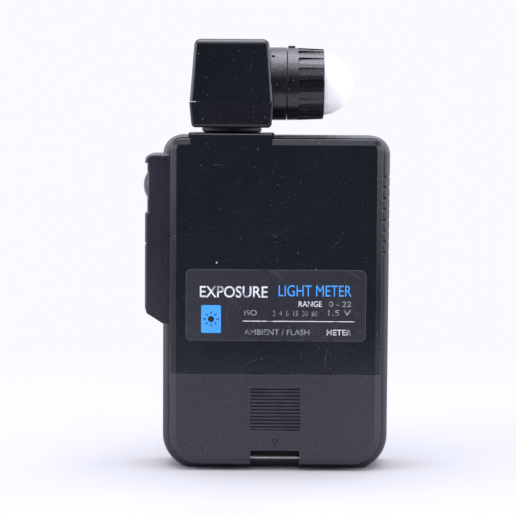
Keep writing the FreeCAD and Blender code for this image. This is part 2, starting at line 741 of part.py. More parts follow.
def thumb_patch(body):
    """A ribbed patch to push the door down by, and the engraved arrow under it."""
    floor = "-half_depth + grip_depth"
    high = f"grip_low + grip_pitch * {COUNT_RIDGES} + 0.2"
    cut(body, "XZ", "-half_depth", floor, lambda s: s.box(
        "-grip_width / 2", "grip_low", "grip_width / 2", high))
    ridge = pad(body, "YZ", "-grip_width / 2 + 0.02", "grip_width / 2 - 0.02", lambda s: s.polygon([
        (floor + " + 0.3", "grip_low + 0.12"), (floor, "grip_low + 0.12"),
        ("-half_depth + 0.03", "grip_low + 0.36"), ("-half_depth + 0.03", "grip_low + 0.66"),
        (floor, "grip_low + grip_pitch - 0.02"), (floor + " + 0.3", "grip_low + grip_pitch - 0.02")]))
    solid(body)
    pattern(body, [ridge], ridge.Profile[0], "V_Axis", f"grip_pitch * {COUNT_RIDGES - 1}", COUNT_RIDGES)

    def arrow(sketch):
        sketch.polygon([("-1.3", "9.7"), ("0", "6.9"), ("1.3", "9.7")])
        sketch.polygon([("-0.75", "9.35"), ("0", "7.7"), ("0.75", "9.35")])

    cut(body, "XZ", "-half_depth", "-half_depth + 0.45", arrow)


def door_rails(body):
    side = "case_width / 2 - cover_side - cover_wall"

    def rails(sketch):
        for s in ("", "-"):
            near_x, far_x = f"{s}({side} - 0.9)", f"{s}({side} + 0.3)"
            sketch.box(*((near_x, "12", far_x, "26") if not s else (far_x, "12", near_x, "26")))

    pad(body, "XZ", "-8.3", "-7.5", rails)


def door_pad():
    thick = "half_depth - cover_wall + cell_y - cell_radius"
    keep("door_pad", rounded_block(
        block("door_pad_sheet", ("-16", "-half_depth + cover_wall + 0.02", "cell_z - 3.4"),
              ("16", "cell_y - cell_radius - 0.05", "cell_z + 3.4")),
        lambda e: near(e.BoundBox.YMax - e.BoundBox.YMin, size(thick) - 0.07),
        "1.2"))


# ---------------------------------------------------------------- battery bay


def battery_tray():
    body = new_body("battery_tray")
    half = "case_width / 2 - cover_side - cover_wall - 0.5"
    pad(body, "XZ", "-8.9", "6.6",
        lambda s: s.rounded(f"-({half})", "6.9", half, "seam - 0.7", "5", "1"))
    cut(body, "XZ", "-8.9", "cell_y + cell_radius + 0.35", lambda s: s.rounded(
        "-29", "cell_z - cell_radius - 0.4", "29", "cell_z + cell_radius + 0.4", "1"))
    cut(body, "XZ", "-8.9", "1", lambda s: s.rounded("-29", "cell_z", "29", "seam - 1.9", "1"))
    strap_cup(body)

    def both(sketch, radius):
        sketch.circle("-tray_screw_x", "tray_screw_z", radius)
        sketch.circle("tray_screw_x", "tray_screw_z", radius)

    cut(body, "XZ", "1", "6.6", lambda s: both(s, "1.15"))

    def grooves(sketch):
        for s in ("", "-"):
            deep, out = f"{s}({half} - 0.8)", f"{s}({half} + 1)"
            sketch.box(*((deep, "4", out, "27.5") if not s else (out, "4", deep, "27.5")))

    cut(body, "XZ", "-8.55", "-7.25", grooves)
    return body


def strap_cup(body):
    """The pocket behind the strap notch, whose sides hold the strap bar."""
    half = "notch_width / 2"
    wall = "1.3"
    pad(body, "XZ", "-9.3", "-rim - 0.1", lambda s: s.box(
        f"-{half} - {wall}", "cover_foot + 0.1", f"{half} + {wall}", "notch_top + 1.6"))
    pad(body, "XZ", "-rim - 0.1", "-2.1", lambda s: s.box(
        f"-{half} - {wall}", "2.5", f"{half} + {wall}", "notch_top + 1.6"))
    cut(body, "XZ", "-9.3", "-3.3", lambda s: s.box(f"-{half}", "cover_foot", half, "notch_top"))
    cut(body, "YZ", f"-{half} - 1.2", f"{half} + 1.2",
        lambda s: s.circle("bar_y", "bar_z", "bar_radius + 0.02"))


def strap_bar():
    length = "notch_width + 2.2"
    bar = rod("strap_bar_rod", "x", (f"-({length}) / 2", "bar_y", "bar_z"), length, "bar_radius")
    keep("strap_bar", rounded_block(bar, lambda e: e.Length < 6, "0.2"))


def battery_cell():
    """An AA cell lying across the case, with its nub towards +X."""
    start = "-24.3"
    centre = ("cell_y", "cell_z")
    body = rod("cell_body", "x", (start, *centre), "cell_length - 1.4", "cell_radius - 0.1")
    rim = rod("cell_rim", "x", (f"{start} + cell_length - 1.7", *centre), "0.3", "cell_radius - 0.9")
    nub = rod("cell_nub", "x", (f"{start} + cell_length - 1.4", *centre), "1.4", "2.7")
    whole = joined("cell_whole", [body, rim, nub])
    keep("battery_cell", rounded_block(
        whole, lambda e: near(e.Length, 2 * math.pi * (size("cell_radius") - 0.1), 0.05), "0.5"))


def battery_contacts():
    """The flat spring strips at both ends of the bay, and the coil that presses on the cell."""
    plus = block("contact_plate_sheet", ("27.6", "cell_y - 5", "cell_z - 5.5"),
                 ("28", "cell_y + 5", "cell_z + 6.5"))
    dimple = ball("contact_plate_dimple", ("28.4", "cell_y", "cell_z"), "2.1")
    behind = block("contact_plate_behind", ("27.7", "cell_y - 5", "cell_z - 5.5"),
                   ("31", "cell_y + 5", "cell_z + 5.5"))
    boss = less("contact_plate_boss", dimple, behind)
    keep("contact_plate", joined("contact_plate_pressed", [plus, boss]))
    body = new_body("contact_spring")
    pad(body, "YZ", "-28.5", "-28.1", lambda s: s.rounded(
        "cell_y - 5", "cell_z - 5.5", "cell_y + 5", "cell_z + 6.5", "0.8"))
    coil(body)


def coil(body):
    """A conical coil, swept along a helix, that ends flat against the cell."""
    sketch = Sketch(body, "YZ", "-28.1", ("cell_y", "cell_z"))
    sketch.circle("3.8", "0", "0.4")
    helix = body.newObject("PartDesign::AdditiveHelix", "AdditiveHelix")
    helix.Profile = sketch.obj
    helix.ReferenceAxis = (sketch.obj, ["N_Axis"])
    helix.Mode = 0
    helix.Pitch = 1.1
    helix.Height = 3.1
    helix.Angle = -12
    return helix


# ---------------------------------------------------------------- screws


def screw(name, x, z, head_y, length, radius="0.88", head="1.9"):
    """A pan-head screw that points along +Y, with a cross recess in its head."""
    top = rod(name + "_head", "y", (x, head_y, z), "1.3", head)
    shank = rod(name + "_shank", "y", (x, head_y, z), length, radius)
    tip = cone(name + "_tip", "y", (x, f"({head_y}) + ({length})", z), "0.9", radius, "0.2")
    whole = joined(name + "_blank", [top, shank, tip])
    arms = [
        block(f"{name}_slot_{i}", (f"{x} - {w}", f"({head_y}) - 0.1", f"{z} - {h}"),
              (f"{x} + {w}", f"({head_y}) + 0.7", f"{z} + {h}"))
        for i, (w, h) in enumerate((("1.1", "0.22"), ("0.22", "1.1")))
    ]
    return less(name, whole, joined(name + "_cross", arms))


def pair_of_screws(label, x, z, head_y, length):
    keep(label, group(label + "_pair", [
        screw(label + "_left", f"-{x}", z, head_y, length),
        screw(label + "_right", x, z, head_y, length)]))


def screws():
    pair_of_screws("cover_screws", "cover_screw_x", "cover_screw_z", "-half_depth + 0.25", "15.5")
    pair_of_screws("tray_screws", "tray_screw_x", "tray_screw_z", "-0.35", "8.6")
    pair_of_screws("board_screws", "board_screw_x", "board_screw_z", "board_y - 1.35", "6.4")


# ---------------------------------------------------------------- display and keys


def display():
    body = new_body("display_window")
    edge = "0.1"
    pad(body, "XZ", "half_depth - window_sheet - 0.08", "half_depth - 0.1", lambda s: s.rounded(
        f"-window_width / 2 + {edge}", f"window_z - window_height / 2 + {edge}",
        f"window_width / 2 - {edge}", f"window_z + window_height / 2 - {edge}", "2.1"))
    soften(body, lambda e: lies_at(e, 1, size("half_depth") - 0.1), "0.12")

    keep("lcd_panel", joined("lcd_glasses", [
        block("lcd_rear_glass", ("-27", "7", "window_z - 15.5"), ("27", "8.2", "window_z + 15.5")),
        block("lcd_front_glass", ("-27", "8.2", "window_z - 13.3"), ("27", "9.4", "window_z + 13.3"))]))

    frame = new_body("lcd_frame")
    pad(frame, "XZ", "board_y + board_sheet + 0.05", "9.7", lambda s: s.rounded(
        "-29.2", "window_z - 17.4", "29.2", "window_z + 17.4", "1"))
    cut(frame, "XZ", "6.9", "9.7", lambda s: s.box("-27.1", "window_z - 15.6", "27.1", "window_z + 15.6"))
    cut(frame, "XZ", "board_y + board_sheet", "7",
        lambda s: s.box("-26.2", "window_z - 12.6", "26.2", "window_z + 12.6"))

    def slots(sketch, grow):
        for low, high in (("window_z - 15.2", "window_z - 13.2"), ("window_z + 13.2", "window_z + 15.2")):
            sketch.box(f"-25.5 - {grow}", f"{low} - {grow}", f"25.5 + {grow}", f"{high} + {grow}")

    cut(frame, "XZ", "board_y + board_sheet", "7", lambda s: slots(s, "0.1"))
    low_y, high_y = "board_y + board_sheet + 0.02", "6.98"
    keep("contact_strips", group("contact_strip_pair", [
        block(f"contact_strip_{side}", ("-25.5", low_y, f"window_z + {low}"),
              ("25.5", high_y, f"window_z + {high}"))
        for side, low, high in (("low", "-15.2", "-13.2"), ("high", "13.2", "15.2"))]))


def key_cap(name, column, row):
    body = new_body(name)
    x, z = key_spot(column, row)
    flange = "half_depth - case_wall - fit"
    pad(body, "XZ", flange + " - 0.8", "half_depth + key_proud", lambda s: key_outline(s, column, row))
    soften(body, lambda e: lies_at(e, 1, size("half_depth + key_proud")), "0.5")
    pad(body, "XZ", flange + " - 0.8", flange, lambda s: key_outline(s, column, row, "0.8"))
    pad(body, "XZ", flange + " - 1.7", flange + " - 0.8", lambda s: s.box(
        f"{x} - 2.2", f"{z} - 1.4", f"{x} + 2.2", f"{z} + 1.4"))


def keypad():
    """One silicone sheet with a raised boss under each key."""
    body = new_body("keypad")
    low = "board_y + board_sheet + 0.02"
    pad(body, "XZ", low, "5.1", lambda s: s.rounded(
        "-24", "key_z - 11", "24", "key_z + 11", "2"))

    def bosses(sketch):
        for name, column, row in KEY_NAMES:
            x, z = key_spot(column, row)
            sketch.rounded(f"{x} - 3", f"{z} - 2.2", f"{x} + 3", f"{z} + 2.2", "0.8")

    pad(body, "XZ", "5", "half_depth - case_wall - fit - 1.7 - key_travel - 0.1", bosses)


# ---------------------------------------------------------------- electronics


def main_board():
    body = new_body("main_board")
    y0, y1 = "board_y", "board_y + board_sheet"
    pad(body, "XZ", y0, y1, lambda s: s.rounded("-31.6", "31", "31.6", "96", "1.5"))
    pad(body, "XZ", y0, y1, lambda s: s.box("-36", "button_z - 4", "-31", "button_z + 4.5"))

    def holes(sketch):
        for x, z, radius in (("cover_screw_x", "cover_screw_z", "2.6"),
                             ("board_screw_x", "board_screw_z", "1.1")):
            sketch.circle("-" + x, z, radius)
            sketch.circle(x, z, radius)

    cut(body, "XZ", y0, y1, holes)


def board_parts():
    """Packages on the rear of the board, and the switch under the measuring button."""
    y = "board_y - 0.02"

    def package(name, x, z, width, height, depth, chamfer="0.3"):
        body = new_body(name)
        pad(body, "XZ", f"{y} - {depth}", y, lambda s: s.box(
            f"{x} - {width} / 2", f"{z} - {height} / 2", f"{x} + {width} / 2", f"{z} + {height} / 2"))
        soften(body, lambda e: lies_at(e, 1, size(f"{y} - {depth}")), chamfer, "Chamfer")

    package("processor_chip", "4", "66", "16", "16", "2.1")
    package("amplifier_chip", "-17", "77", "6", "9", "1.6")
    package("clock_crystal", "19", "84", "4", "9.5", "2.6", "0.5")
    cans = [
        rounded_block(rod(f"capacitor_{i}", "y", (x, "board_y - 4.4", z), "4.38", "2.4"),
                      lambda e: lies_at(e, 1, size("board_y - 4.4")), "0.4")
        for i, (x, z) in enumerate((("20", "68"), ("20", "75"), ("-16", "44")))
    ]
    keep("capacitors", group("capacitor_group", cans))
    switch = block("switch_body", ("-36.2", "-3.7", "button_z - 3.1"),
                   ("-32.6", "board_y - 0.02", "button_z + 3.1"))
    plunger = rod("switch_plunger", "x", ("-36.9", "button_y - 1", "button_z"), "1", "1.6")
    keep("measure_switch", joined("switch_whole", [switch, plunger]))


def flash_socket():
    """Coaxial flash cord socket: a metal barrel, an insulator with a hollow post, and a centre contact."""
    axis = ("button_y", "socket_z")
    mouth = "-case_width / 2 - side_reach + 0.5"
    barrel = new_body("socket_barrel")
    revolve(barrel, "Revolution", "XZ", lambda s: s.polygon([
        (mouth, "socket_bore + 0.25"), (mouth + " + 0.25", "socket_bore"), (mouth + " + 6", "socket_bore"),
        (mouth + " + 6", "socket_radius - 0.4"), (mouth + " + 2.7", "socket_radius - 0.4"),
        (mouth + " + 2.7", "socket_radius + 1"), (mouth + " + 1.6", "socket_radius + 1"),
        (mouth + " + 1.6", "socket_radius"), (mouth + " + 0.3", "socket_radius"),
        (mouth, "socket_radius - 0.3")]), "H_Axis", ("0", "socket_z"))
    bind(barrel, ".Placement.Base.y", "button_y")
    post = tube("insulator_post", "x", (mouth + " + 0.5", *axis), "3.6", "socket_post", "0.56")
    base = tube("insulator_base", "x", (mouth + " + 4.05", *axis), "2.2", "socket_bore - 0.02", "0.56")
    keep("socket_insulator", joined("insulator_whole", [post, base]))
    keep("socket_contact", rounded_block(
        rod("contact_pin", "x", (mouth + " + 2.4", *axis), "5.4", "0.54"),
        lambda e: lies_at(e, 0, size(mouth + " + 2.4")), "0.15"))


def measure_button():
    """A domed cap with a flange inside the case and a stem that meets the switch."""
    body = new_body("measure_button")
    face = "-case_width / 2 - side_reach + recess_depth - 0.1"
    inside = "-case_width / 2 - side_reach + side_skin"
    stem_end = "-36.9 - button_travel - 0.1"
    sphere = "(button_radius * button_radius + button_crown * button_crown) / (2 * button_crown)"
    outline = [
        (stem_end, "0"), (stem_end, "1.9"), (inside + " + 0.8", "1.9"),
        (inside + " + 0.8", "button_radius + 0.7"), (inside + " + 0.15", "button_radius + 0.7"),
        (inside + " + 0.15", "button_radius"), (face, "button_radius"),
    ]
    apex = f"{face} - button_crown"

    def profile(sketch):
        points = [V(size(a), size(b), 0) for a, b in outline]
        crown = len(points) - 1
        for start, end in zip(points, points[1:]):
            sketch.obj.addGeometry(Part.LineSegment(start, end), False)
        centre = V(size(apex) + size(sphere), 0, 0)
        rim = points[-1] - centre
        circle = Part.Circle(centre, V(0, 0, 1), size(sphere))
        sketch.obj.addGeometry(Part.ArcOfCircle(circle, math.atan2(rim.y, rim.x), math.pi), False)
        sketch.obj.addGeometry(Part.LineSegment(V(size(apex), 0, 0), points[0]), False)
        joins = [(i, i + 1, 1) for i in range(crown)] + [(crown, crown + 1, 1), (crown + 1, 0, 1)]
        for one, other, end in joins:
            sketch.obj.addConstraint(Sketcher.Constraint("Coincident", one, 2, other, end))
        for i, (x, y) in enumerate(outline[:-1]):
            sketch.place(i, 1, x, y)
        sketch.place(crown - 1, 2, *outline[-1])
        sketch.place(crown + 1, 1, apex, "0")
        sketch.radius(crown, sphere)

    revolve(body, "Revolution", "XZ", profile, "H_Axis", ("0", "button_z"))
    bind(body, ".Placement.Base.y", "button_y")


# ---------------------------------------------------------------- head


def head_shell(body, level, height, lean, inset, downward=False):
    """One shell of the head: a box that leans in by the same amount on all four sides."""
    sketch = Sketch(body, "XY", level)
    sketch.box(
        f"swivel_x - head_half_width + {inset}", f"-head_half_depth + {inset}",
        f"swivel_x + head_half_width - {inset}", f"head_half_depth - {inset}")
    feature = extrude(body, "Pad", sketch, "0", height)
    feature.Reversed = downward
    bind(feature, "TaperAngle", f"-atan(({lean}) / ({height}))")
    solid(body)


def is_upright(edge):
    return edge.BoundBox.ZMax - edge.BoundBox.ZMin > 1


def hollow_outline(sketch, grow="0"):
    sketch.rounded(
        f"swivel_x - head_half_width + 2.9 - ({grow})", f"-10.4 - ({grow})",
        f"swivel_x + head_half_width - 3.1 + ({grow})", f"10.4 + ({grow})", f"1.5 + ({grow})")


def lip_outline(sketch, inside, outside):
    """A band round the head's hollow, where the lower shell's lip stands inside the upper shell."""
    hollow_outline(sketch, inside)
    hollow_outline(sketch, outside)


def head_hollow(body, low, high):
    cut(body, "XY", low, high, hollow_outline)


def collar_seat(body):
    """The hole in the head's right side that the collar sits in."""
    cut(body, "YZ", "swivel_x + head_half_width - 4", "swivel_x + head_half_width + 1",
        lambda s: s.circle("0", "lens_z", "9"))
    cut(body, "YZ", "-2.4", "2", lambda s: s.circle("0", "lens_z", "collar_radius + 0.1"))


def head_screw_spots(sketch, radius):
    for side in ("-", ""):
        sketch.circle("swivel_x - 8.6", f"{side}8.5", radius)


def head_cover():
    body = new_body("head_cover")
    head_shell(body, "head_belt + 0.15", "head_crown - head_belt - 0.15", "lean_crown", "0.15")
    soften(body, lambda e: lies_at(e, 2, size("head_crown")), "crown_round")
    soften(body, is_upright, "head_corner")
    head_hollow(body, "head_belt + 0.15", "head_crown - 1.9")
    pad(body, "XY", "head_belt + 0.3", "head_crown - 1.5", lambda s: head_screw_spots(s, "2.1"))
    cut(body, "XY", "head_belt + 0.3", "head_belt + 8", lambda s: head_screw_spots(s, "0.8"))
    cut(body, "XY", "head_belt", "head_belt + 1.2", lambda s: lip_outline(s, "-0.05", "lip_sheet + 0.05"))
    collar_seat(body)


def head_base():
    body = new_body("head_base")
    head_shell(body, "head_belt", "head_belt - head_foot", "lean_foot", "0", downward=True)
    soften(body, lambda e: lies_at(e, 2, size("head_foot")), "foot_round")
    soften(body, is_upright, "head_corner")
    head_hollow(body, "head_foot + 1.8", "head_belt")
    pad(body, "XY", "head_belt - 0.3", "head_belt + 1", lambda s: lip_outline(s, "0", "lip_sheet"))
    pad(body, "XY", "head_foot + 1.6", "head_belt", lambda s: head_screw_spots(s, "2.1"))
    cut(body, "XY", "head_foot", "head_belt", lambda s: head_screw_spots(s, "1.05"))
    cut(body, "XY", "head_foot", "head_foot + 1.5", lambda s: head_screw_spots(s, "1.8"))
    cut(body, "XY", "head_foot", "head_foot + 2",
        lambda s: s.circle("swivel_x", "0", "shaft_radius + 0.02"))
    collar_seat(body)


def head_screws():
    made = []
    for side in ("-", ""):
        name = "head_screw_" + ("rear" if side else "front")
        x, y, z = "swivel_x - 8.6", f"{side}8.5", "head_foot + 0.25"
        top = rod(name + "_head", "z", (x, y, z), "1.2", "1.65")
        shank = rod(name + "_shank", "z", (x, y, z), "13.5", "0.79")
        slots = [
            block(f"{name}_slot_{i}", (f"{x} - {w}", f"{y} - {h}", f"{z} - 0.1"),
                  (f"{x} + {w}", f"{y} + {h}", f"{z} + 0.6"))
            for i, (w, h) in enumerate((("0.9", "0.2"), ("0.2", "0.9")))
        ]
        made.append(less(name, joined(name + "_blank", [top, shank]), joined(name + "_cross", slots)))
    keep("head_screws", group("head_screw_pair", made))


def lens_origin():
    return ("0", "lens_z")


def end_stops(sketch):
    """Lugs that the ring's first bayonet tab meets at either end of its turn."""
    half = TAB_ANGLE / 2 + 2
    for angle in (90 - half, 90 + half + RELEASE_TURN):
        sketch.sector("spigot_radius - 0.1", "ring_bore - 0.15", angle, 3.6)


def head_collar():
    body = new_body("head_collar")
    turned = revolve(body, "Revolution", "XZ", lambda s: s.polygon([
        ("-6.6", "spigot_bore"), ("9", "spigot_bore"), ("9", "spigot_radius - 0.2"),
        ("8.8", "spigot_radius"), ("collar_end", "spigot_radius"), ("collar_end", "collar_radius - 0.15"),
        ("collar_end - 0.15", "collar_radius"), ("-2.35", "collar_radius"),
        ("-2.35", "8.9"), ("-6.6", "8.9")]),
        "H_Axis", lens_origin())
    solid(body)
    tab = pad(body, "YZ", "7.6", "8.8", lambda s: s.sector(
        "spigot_radius - 0.1", "ring_bore - 0.15", 90, TAB_ANGLE), ("0", "lens_z"))
    solid(body)
    around(body, [tab], turned.Profile[0], "H_Axis", BAYONET_TABS)
    solid(body)
    pad(body, "YZ", "6.2", "7.2", end_stops, ("0", "lens_z"))
    mark = Sketch(body, "YZ", "-1.95", ("0", "lens_z"))
    mark.circle("-collar_radius * 0.68", "collar_radius * 0.74", "0.55")
    dot = body.newObject("PartDesign::Pocket", "Pocket")
    dot.Profile = mark.obj
    dot.Reversed = True
    dot.Length = 1.1
    body.Tip = dot


def collar_nut():
    nut = tube("collar_nut_ring", "x", ("-6.2", "0", "lens_z"), "1.6", "9.9", "8.92")
    slots = [
        block(f"collar_nut_slot_{i}", ("-6.3", f"{a} - 1", f"lens_z + {b} - 1"),
              ("-5.4", f"{a} + 1", f"lens_z + {b} + 1"))
        for i, (a, b) in enumerate((("10", "0"), ("-10", "0"), ("0", "10"), ("0", "-10")))
    ]
    keep("collar_nut", less("collar_nut_slotted", nut, joined("collar_nut_slots", slots)))


def dome_ring():
    body = new_body("dome_ring")
    start = "collar_end + 0.15"
    turned = revolve(body, "Revolution", "XZ", lambda s: s.polygon([
        (start, "ring_bore"), ("13.55", "ring_bore"), ("13.55", "dome_radius + 0.06"),
        ("ring_end", "dome_radius + 0.06"), ("ring_end", "ring_end_radius - 0.25"),
        ("ring_end - 0.25", "ring_end_radius"), (start + " + 0.15", "collar_radius"),
        (start, "collar_radius - 0.15")]), "H_Axis", lens_origin())
    axis = turned.Profile[0]
    solid(body)
    tab = pad(body, "YZ", "6.1", "7.3", lambda s: s.sector(
        "spigot_radius + 0.15", "ring_bore + 0.1", 90, TAB_ANGLE), ("0", "lens_z"))
    solid(body)
    around(body, [tab], axis, "H_Axis", BAYONET_TABS)
    pad(body, "XY", "lens_z + collar_radius - 0.5", "lens_z + collar_radius + 0.45",
        lambda s: s.rounded(start + " + 0.35", "-1", start + " + 2.6", "1", "0.3"))
    solid(body)
    flute = cut(body, "XZ", "-collar_radius - 0.3", "-flute_floor", lambda s: s.rounded(
        "flute_start", "lens_z - flute_width / 2", "ring_end + 2", "lens_z + flute_width / 2", "0.8"))
    around(body, [flute], axis, "H_Axis", COUNT_FLUTES)


def diffuser_dome():
    centre = ("dome_x", "0", "lens_z")
    shell = less("dome_shell", ball("dome_outside", centre, "dome_radius"),
                 ball("dome_inside", centre, "dome_radius - dome_wall"))
    behind = block("dome_behind", ("0", "-12", "lens_z - 12"), ("dome_x", "12", "lens_z + 12"))
    cap = less("dome_cap", shell, behind)
    foot, inner = ("12.05", "0", "lens_z"), "dome_radius - dome_wall"
    skirt = tube("dome_skirt", "x", foot, "dome_x - 12.05", "dome_radius", inner)
    flange = tube("dome_flange", "x", foot, "1.4", "ring_bore - 0.04", inner)
    keep("diffuser_dome", joined("dome_whole", [cap, skirt, flange]))


def dome_retainer():
    keep("dome_retainer", rounded_block(
        tube("retainer_ring", "x", ("10.7", "0", "lens_z"), "1.3", "ring_bore - 0.03", "9"),
        lambda e: e.Length > 60, "0.2"))


def sensor():
    """The light sensor under the dome: holder, colour filter, photocell and its small board."""
    holder = new_body("sensor_holder")
    revolve(holder, "Revolution", "XZ", lambda s: s.polygon([
        ("-1.6", "3.2"), ("1.4", "3.2"), ("1.4", "4.3"), ("3", "4.3"), ("3", "5.3"), ("0.4", "6.4"),
        ("0.4", "spigot_bore - 0.05"), ("-1.6", "spigot_bore - 0.05")]), "H_Axis", lens_origin())
    keep("colour_filter", rounded_block(
        rod("filter_disc", "x", ("1.42", "0", "lens_z"), "1.4", "4.25"), lambda e: e.Length > 20, "0.15"))
    keep("photocell", joined("photocell_whole", [
        block("photocell_case", ("-3", "-3.4", "lens_z - 3.4"), ("-1.65", "3.4", "lens_z + 3.4")),
        block("photocell_chip", ("-1.65", "-1.8", "lens_z - 1.8"), ("-1.2", "1.8", "lens_z + 1.8"))]))
    board = new_body("sensor_board")
    pad(board, "YZ", "-4.05", "-3.05",
        lambda s: s.rounded("-5.4", "lens_z - 5.4", "5.4", "lens_z + 5.4", "1"))


def cable(label, plane, level, path):
    """A round cable that follows a path of straight runs with an arc between them."""
    body = new_body(label)
    spine = Sketch(body, plane, level)
    (x0, y0), (x1, y1), (x2, y2) = [(size(a), size(b)) for a, b in path]
    first = spine.obj.addGeometry(Part.LineSegment(V(x0, y0, 0), V(x1, y1, 0)), False)
    second = spine.obj.addGeometry(Part.LineSegment(V(x1, y1, 0), V(x2, y2, 0)), False)
    spine.obj.addConstraint(Sketcher.Constraint("Coincident", first, 2, second, 1))
    spine.place(first, 1, *path[0])
    spine.place(first, 2, *path[1])
    spine.place(second, 2, *path[2])
    return body, spine


def cables():
    """The sensor's cable runs down the hollow shaft; the case holds its other half."""
    body, spine = cable("sensor_cable", "XZ", "0", [
        ("swivel_x", "shaft_foot + 0.2"), ("swivel_x", "lens_z - 3.4"), ("-4.1", "lens_z - 3.4")])
    profile = Sketch(body, "XY", "shaft_foot + 0.2", ("0", "0"))
    profile.circle("swivel_x", "0", "1.1")
    sweep(body, profile, spine)
    body, spine = cable("board_cable", "YZ", "swivel_x", [
        ("0", "shaft_foot - 0.3"), ("0", "shaft_foot - 3.5"), ("board_y - 1.2", "shaft_foot - 9")])
    profile = Sketch(body, "XY", "shaft_foot - 0.3", ("0", "0"))
    profile.circle("swivel_x", "0", "1.1")
    sweep(body, profile, spine)


def sweep(body, profile, spine):
    pipe = body.newObject("PartDesign::AdditivePipe", "AdditivePipe")
    pipe.Profile = profile.obj
    pipe.Spine = (spine.obj, [])
    pipe.Transition = "Round corner"
    return pipe


# ---------------------------------------------------------------- swivel


def aimed_rod(name, angle, start, length, radius):
    """A cylinder that points away from the swivel axis, at an angle from +X."""
    thing = doc.addObject("Part::Cylinder", name)
    bind(thing, "Radius", radius)
    bind(thing, "Height", length)
    turn = FreeCAD.Rotation(V(0, 0, 1), angle) * TURNS["x"]
    return move(thing, f"swivel_x + ({start}) * cos({angle})", f"({start}) * sin({angle})", "stop_z", turn)


def swivel():
    """The head's hollow shaft, the bush it turns in, what holds it down, and its end stop."""
    upright = ("swivel_x", "0")
    seat = "case_height - 2.22"
    groove_low, groove_high = seat + " - 2.08", seat + " - 1.38"
    shaft = new_body("shaft_turned", keep_it=False)
    top = "head_foot - 0.05"
    revolve(shaft, "Revolution", "XZ", lambda s: s.polygon([
        ("shaft_bore", "shaft_foot"), ("shaft_radius - 0.3", "shaft_foot"),
        ("shaft_radius", "shaft_foot + 0.3"), ("shaft_radius", groove_low), ("3.9", groove_low),
        ("3.9", groove_high), ("shaft_radius", groove_high),
        ("shaft_radius", "shoulder_top + 0.12"), ("neck_radius - 0.7", "shoulder_top + 0.12"),
        ("neck_radius", "shoulder_top + 0.7"), ("neck_radius", top), ("shaft_radius", top),
        ("shaft_radius", "head_foot + 3.6"), ("shaft_bore", "head_foot + 3.6")]), "V_Axis", upright)
    drill = aimed_rod("stop_pin_hole", STOP_PIN_ANGLE, "2", "4", "0.82")
    keep("swivel_shaft", less("shaft_drilled", shaft, drill))
    keep("stop_pin", rounded_block(
        aimed_rod("stop_pin_rod", STOP_PIN_ANGLE, "3.2", "stop_reach - 3.2", "0.8"),
        lambda e: near(e.Length, 2 * math.pi * 0.8, 0.05), "0.15"))

    bush = new_body("swivel_bush")
    revolve(bush, "Revolution", "XZ", lambda s: s.polygon([
        ("shaft_radius + 0.03", seat + " - 0.83"), ("5.8", seat + " - 0.83"), ("5.8", seat),
        ("bush_radius - 0.02", seat), ("bush_radius - 0.02", "shoulder_top"),
        ("shaft_radius + 0.03", "shoulder_top")]), "V_Axis", upright)
    washer = new_body("spring_washer")
    revolve(washer, "Revolution", "XZ", lambda s: s.polygon([
        ("shaft_radius + 0.1", seat + " - 1.1"), ("5.8", seat + " - 1.35"), ("5.8", seat + " - 1.15"),
        ("shaft_radius + 0.1", seat + " - 0.85")]), "V_Axis", upright)
    ring = tube("clip_ring", "z", ("swivel_x", "0", groove_low + " + 0.06"), "0.6", "5.8", "3.93")
    gap = block("clip_gap", ("swivel_x", "-1.6", groove_low), ("swivel_x + 8", "1.6", groove_high))
    keep("retaining_clip", less("clip_open", ring, gap))


# ---------------------------------------------------------------- build


def build():
    front_case()
    rear_cover()
    name_plate()
    battery_door()
    door_pad()
    battery_tray()
    strap_bar()
    battery_cell()
    battery_contacts()
    screws()
    display()
    for name, column, row in KEY_NAMES:
        key_cap(name, column, row)
    keypad()
    main_board()
    board_parts()
    flash_socket()
    measure_button()
    head_cover()
    head_base()
    head_screws()
    head_collar()
    collar_nut()
    dome_ring()
    diffuser_dome()
    dome_retainer()
    sensor()
    cables()
    swivel()


def raise_to_foot():
    """Lifts every finished sub-part from the datum line to the flat foot."""
    for thing in finished.values():
        bind(thing, ".Placement.Base.z", "foot_drop")


def check_and_export():
    doc.recompute()
    for thing in doc.Objects:
        if "Invalid" in thing.State or "Error" in thing.State:
            raise RuntimeError(f"{thing.Label} ({thing.Name}) did not compute: {thing.State}")
    os.makedirs("parts", exist_ok=True)
    for label, thing in finished.items():
        shape = thing.Shape
        if shape.isNull() or not shape.isValid() or not shape.Solids:
            raise RuntimeError(f"{label} has no valid solid")
        shape.exportStep(f"parts/{label}.step")


build()
raise_to_foot()
check_and_export()
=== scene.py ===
import json
import math
import random

import bmesh
import bpy
from mathutils import Matrix, Vector


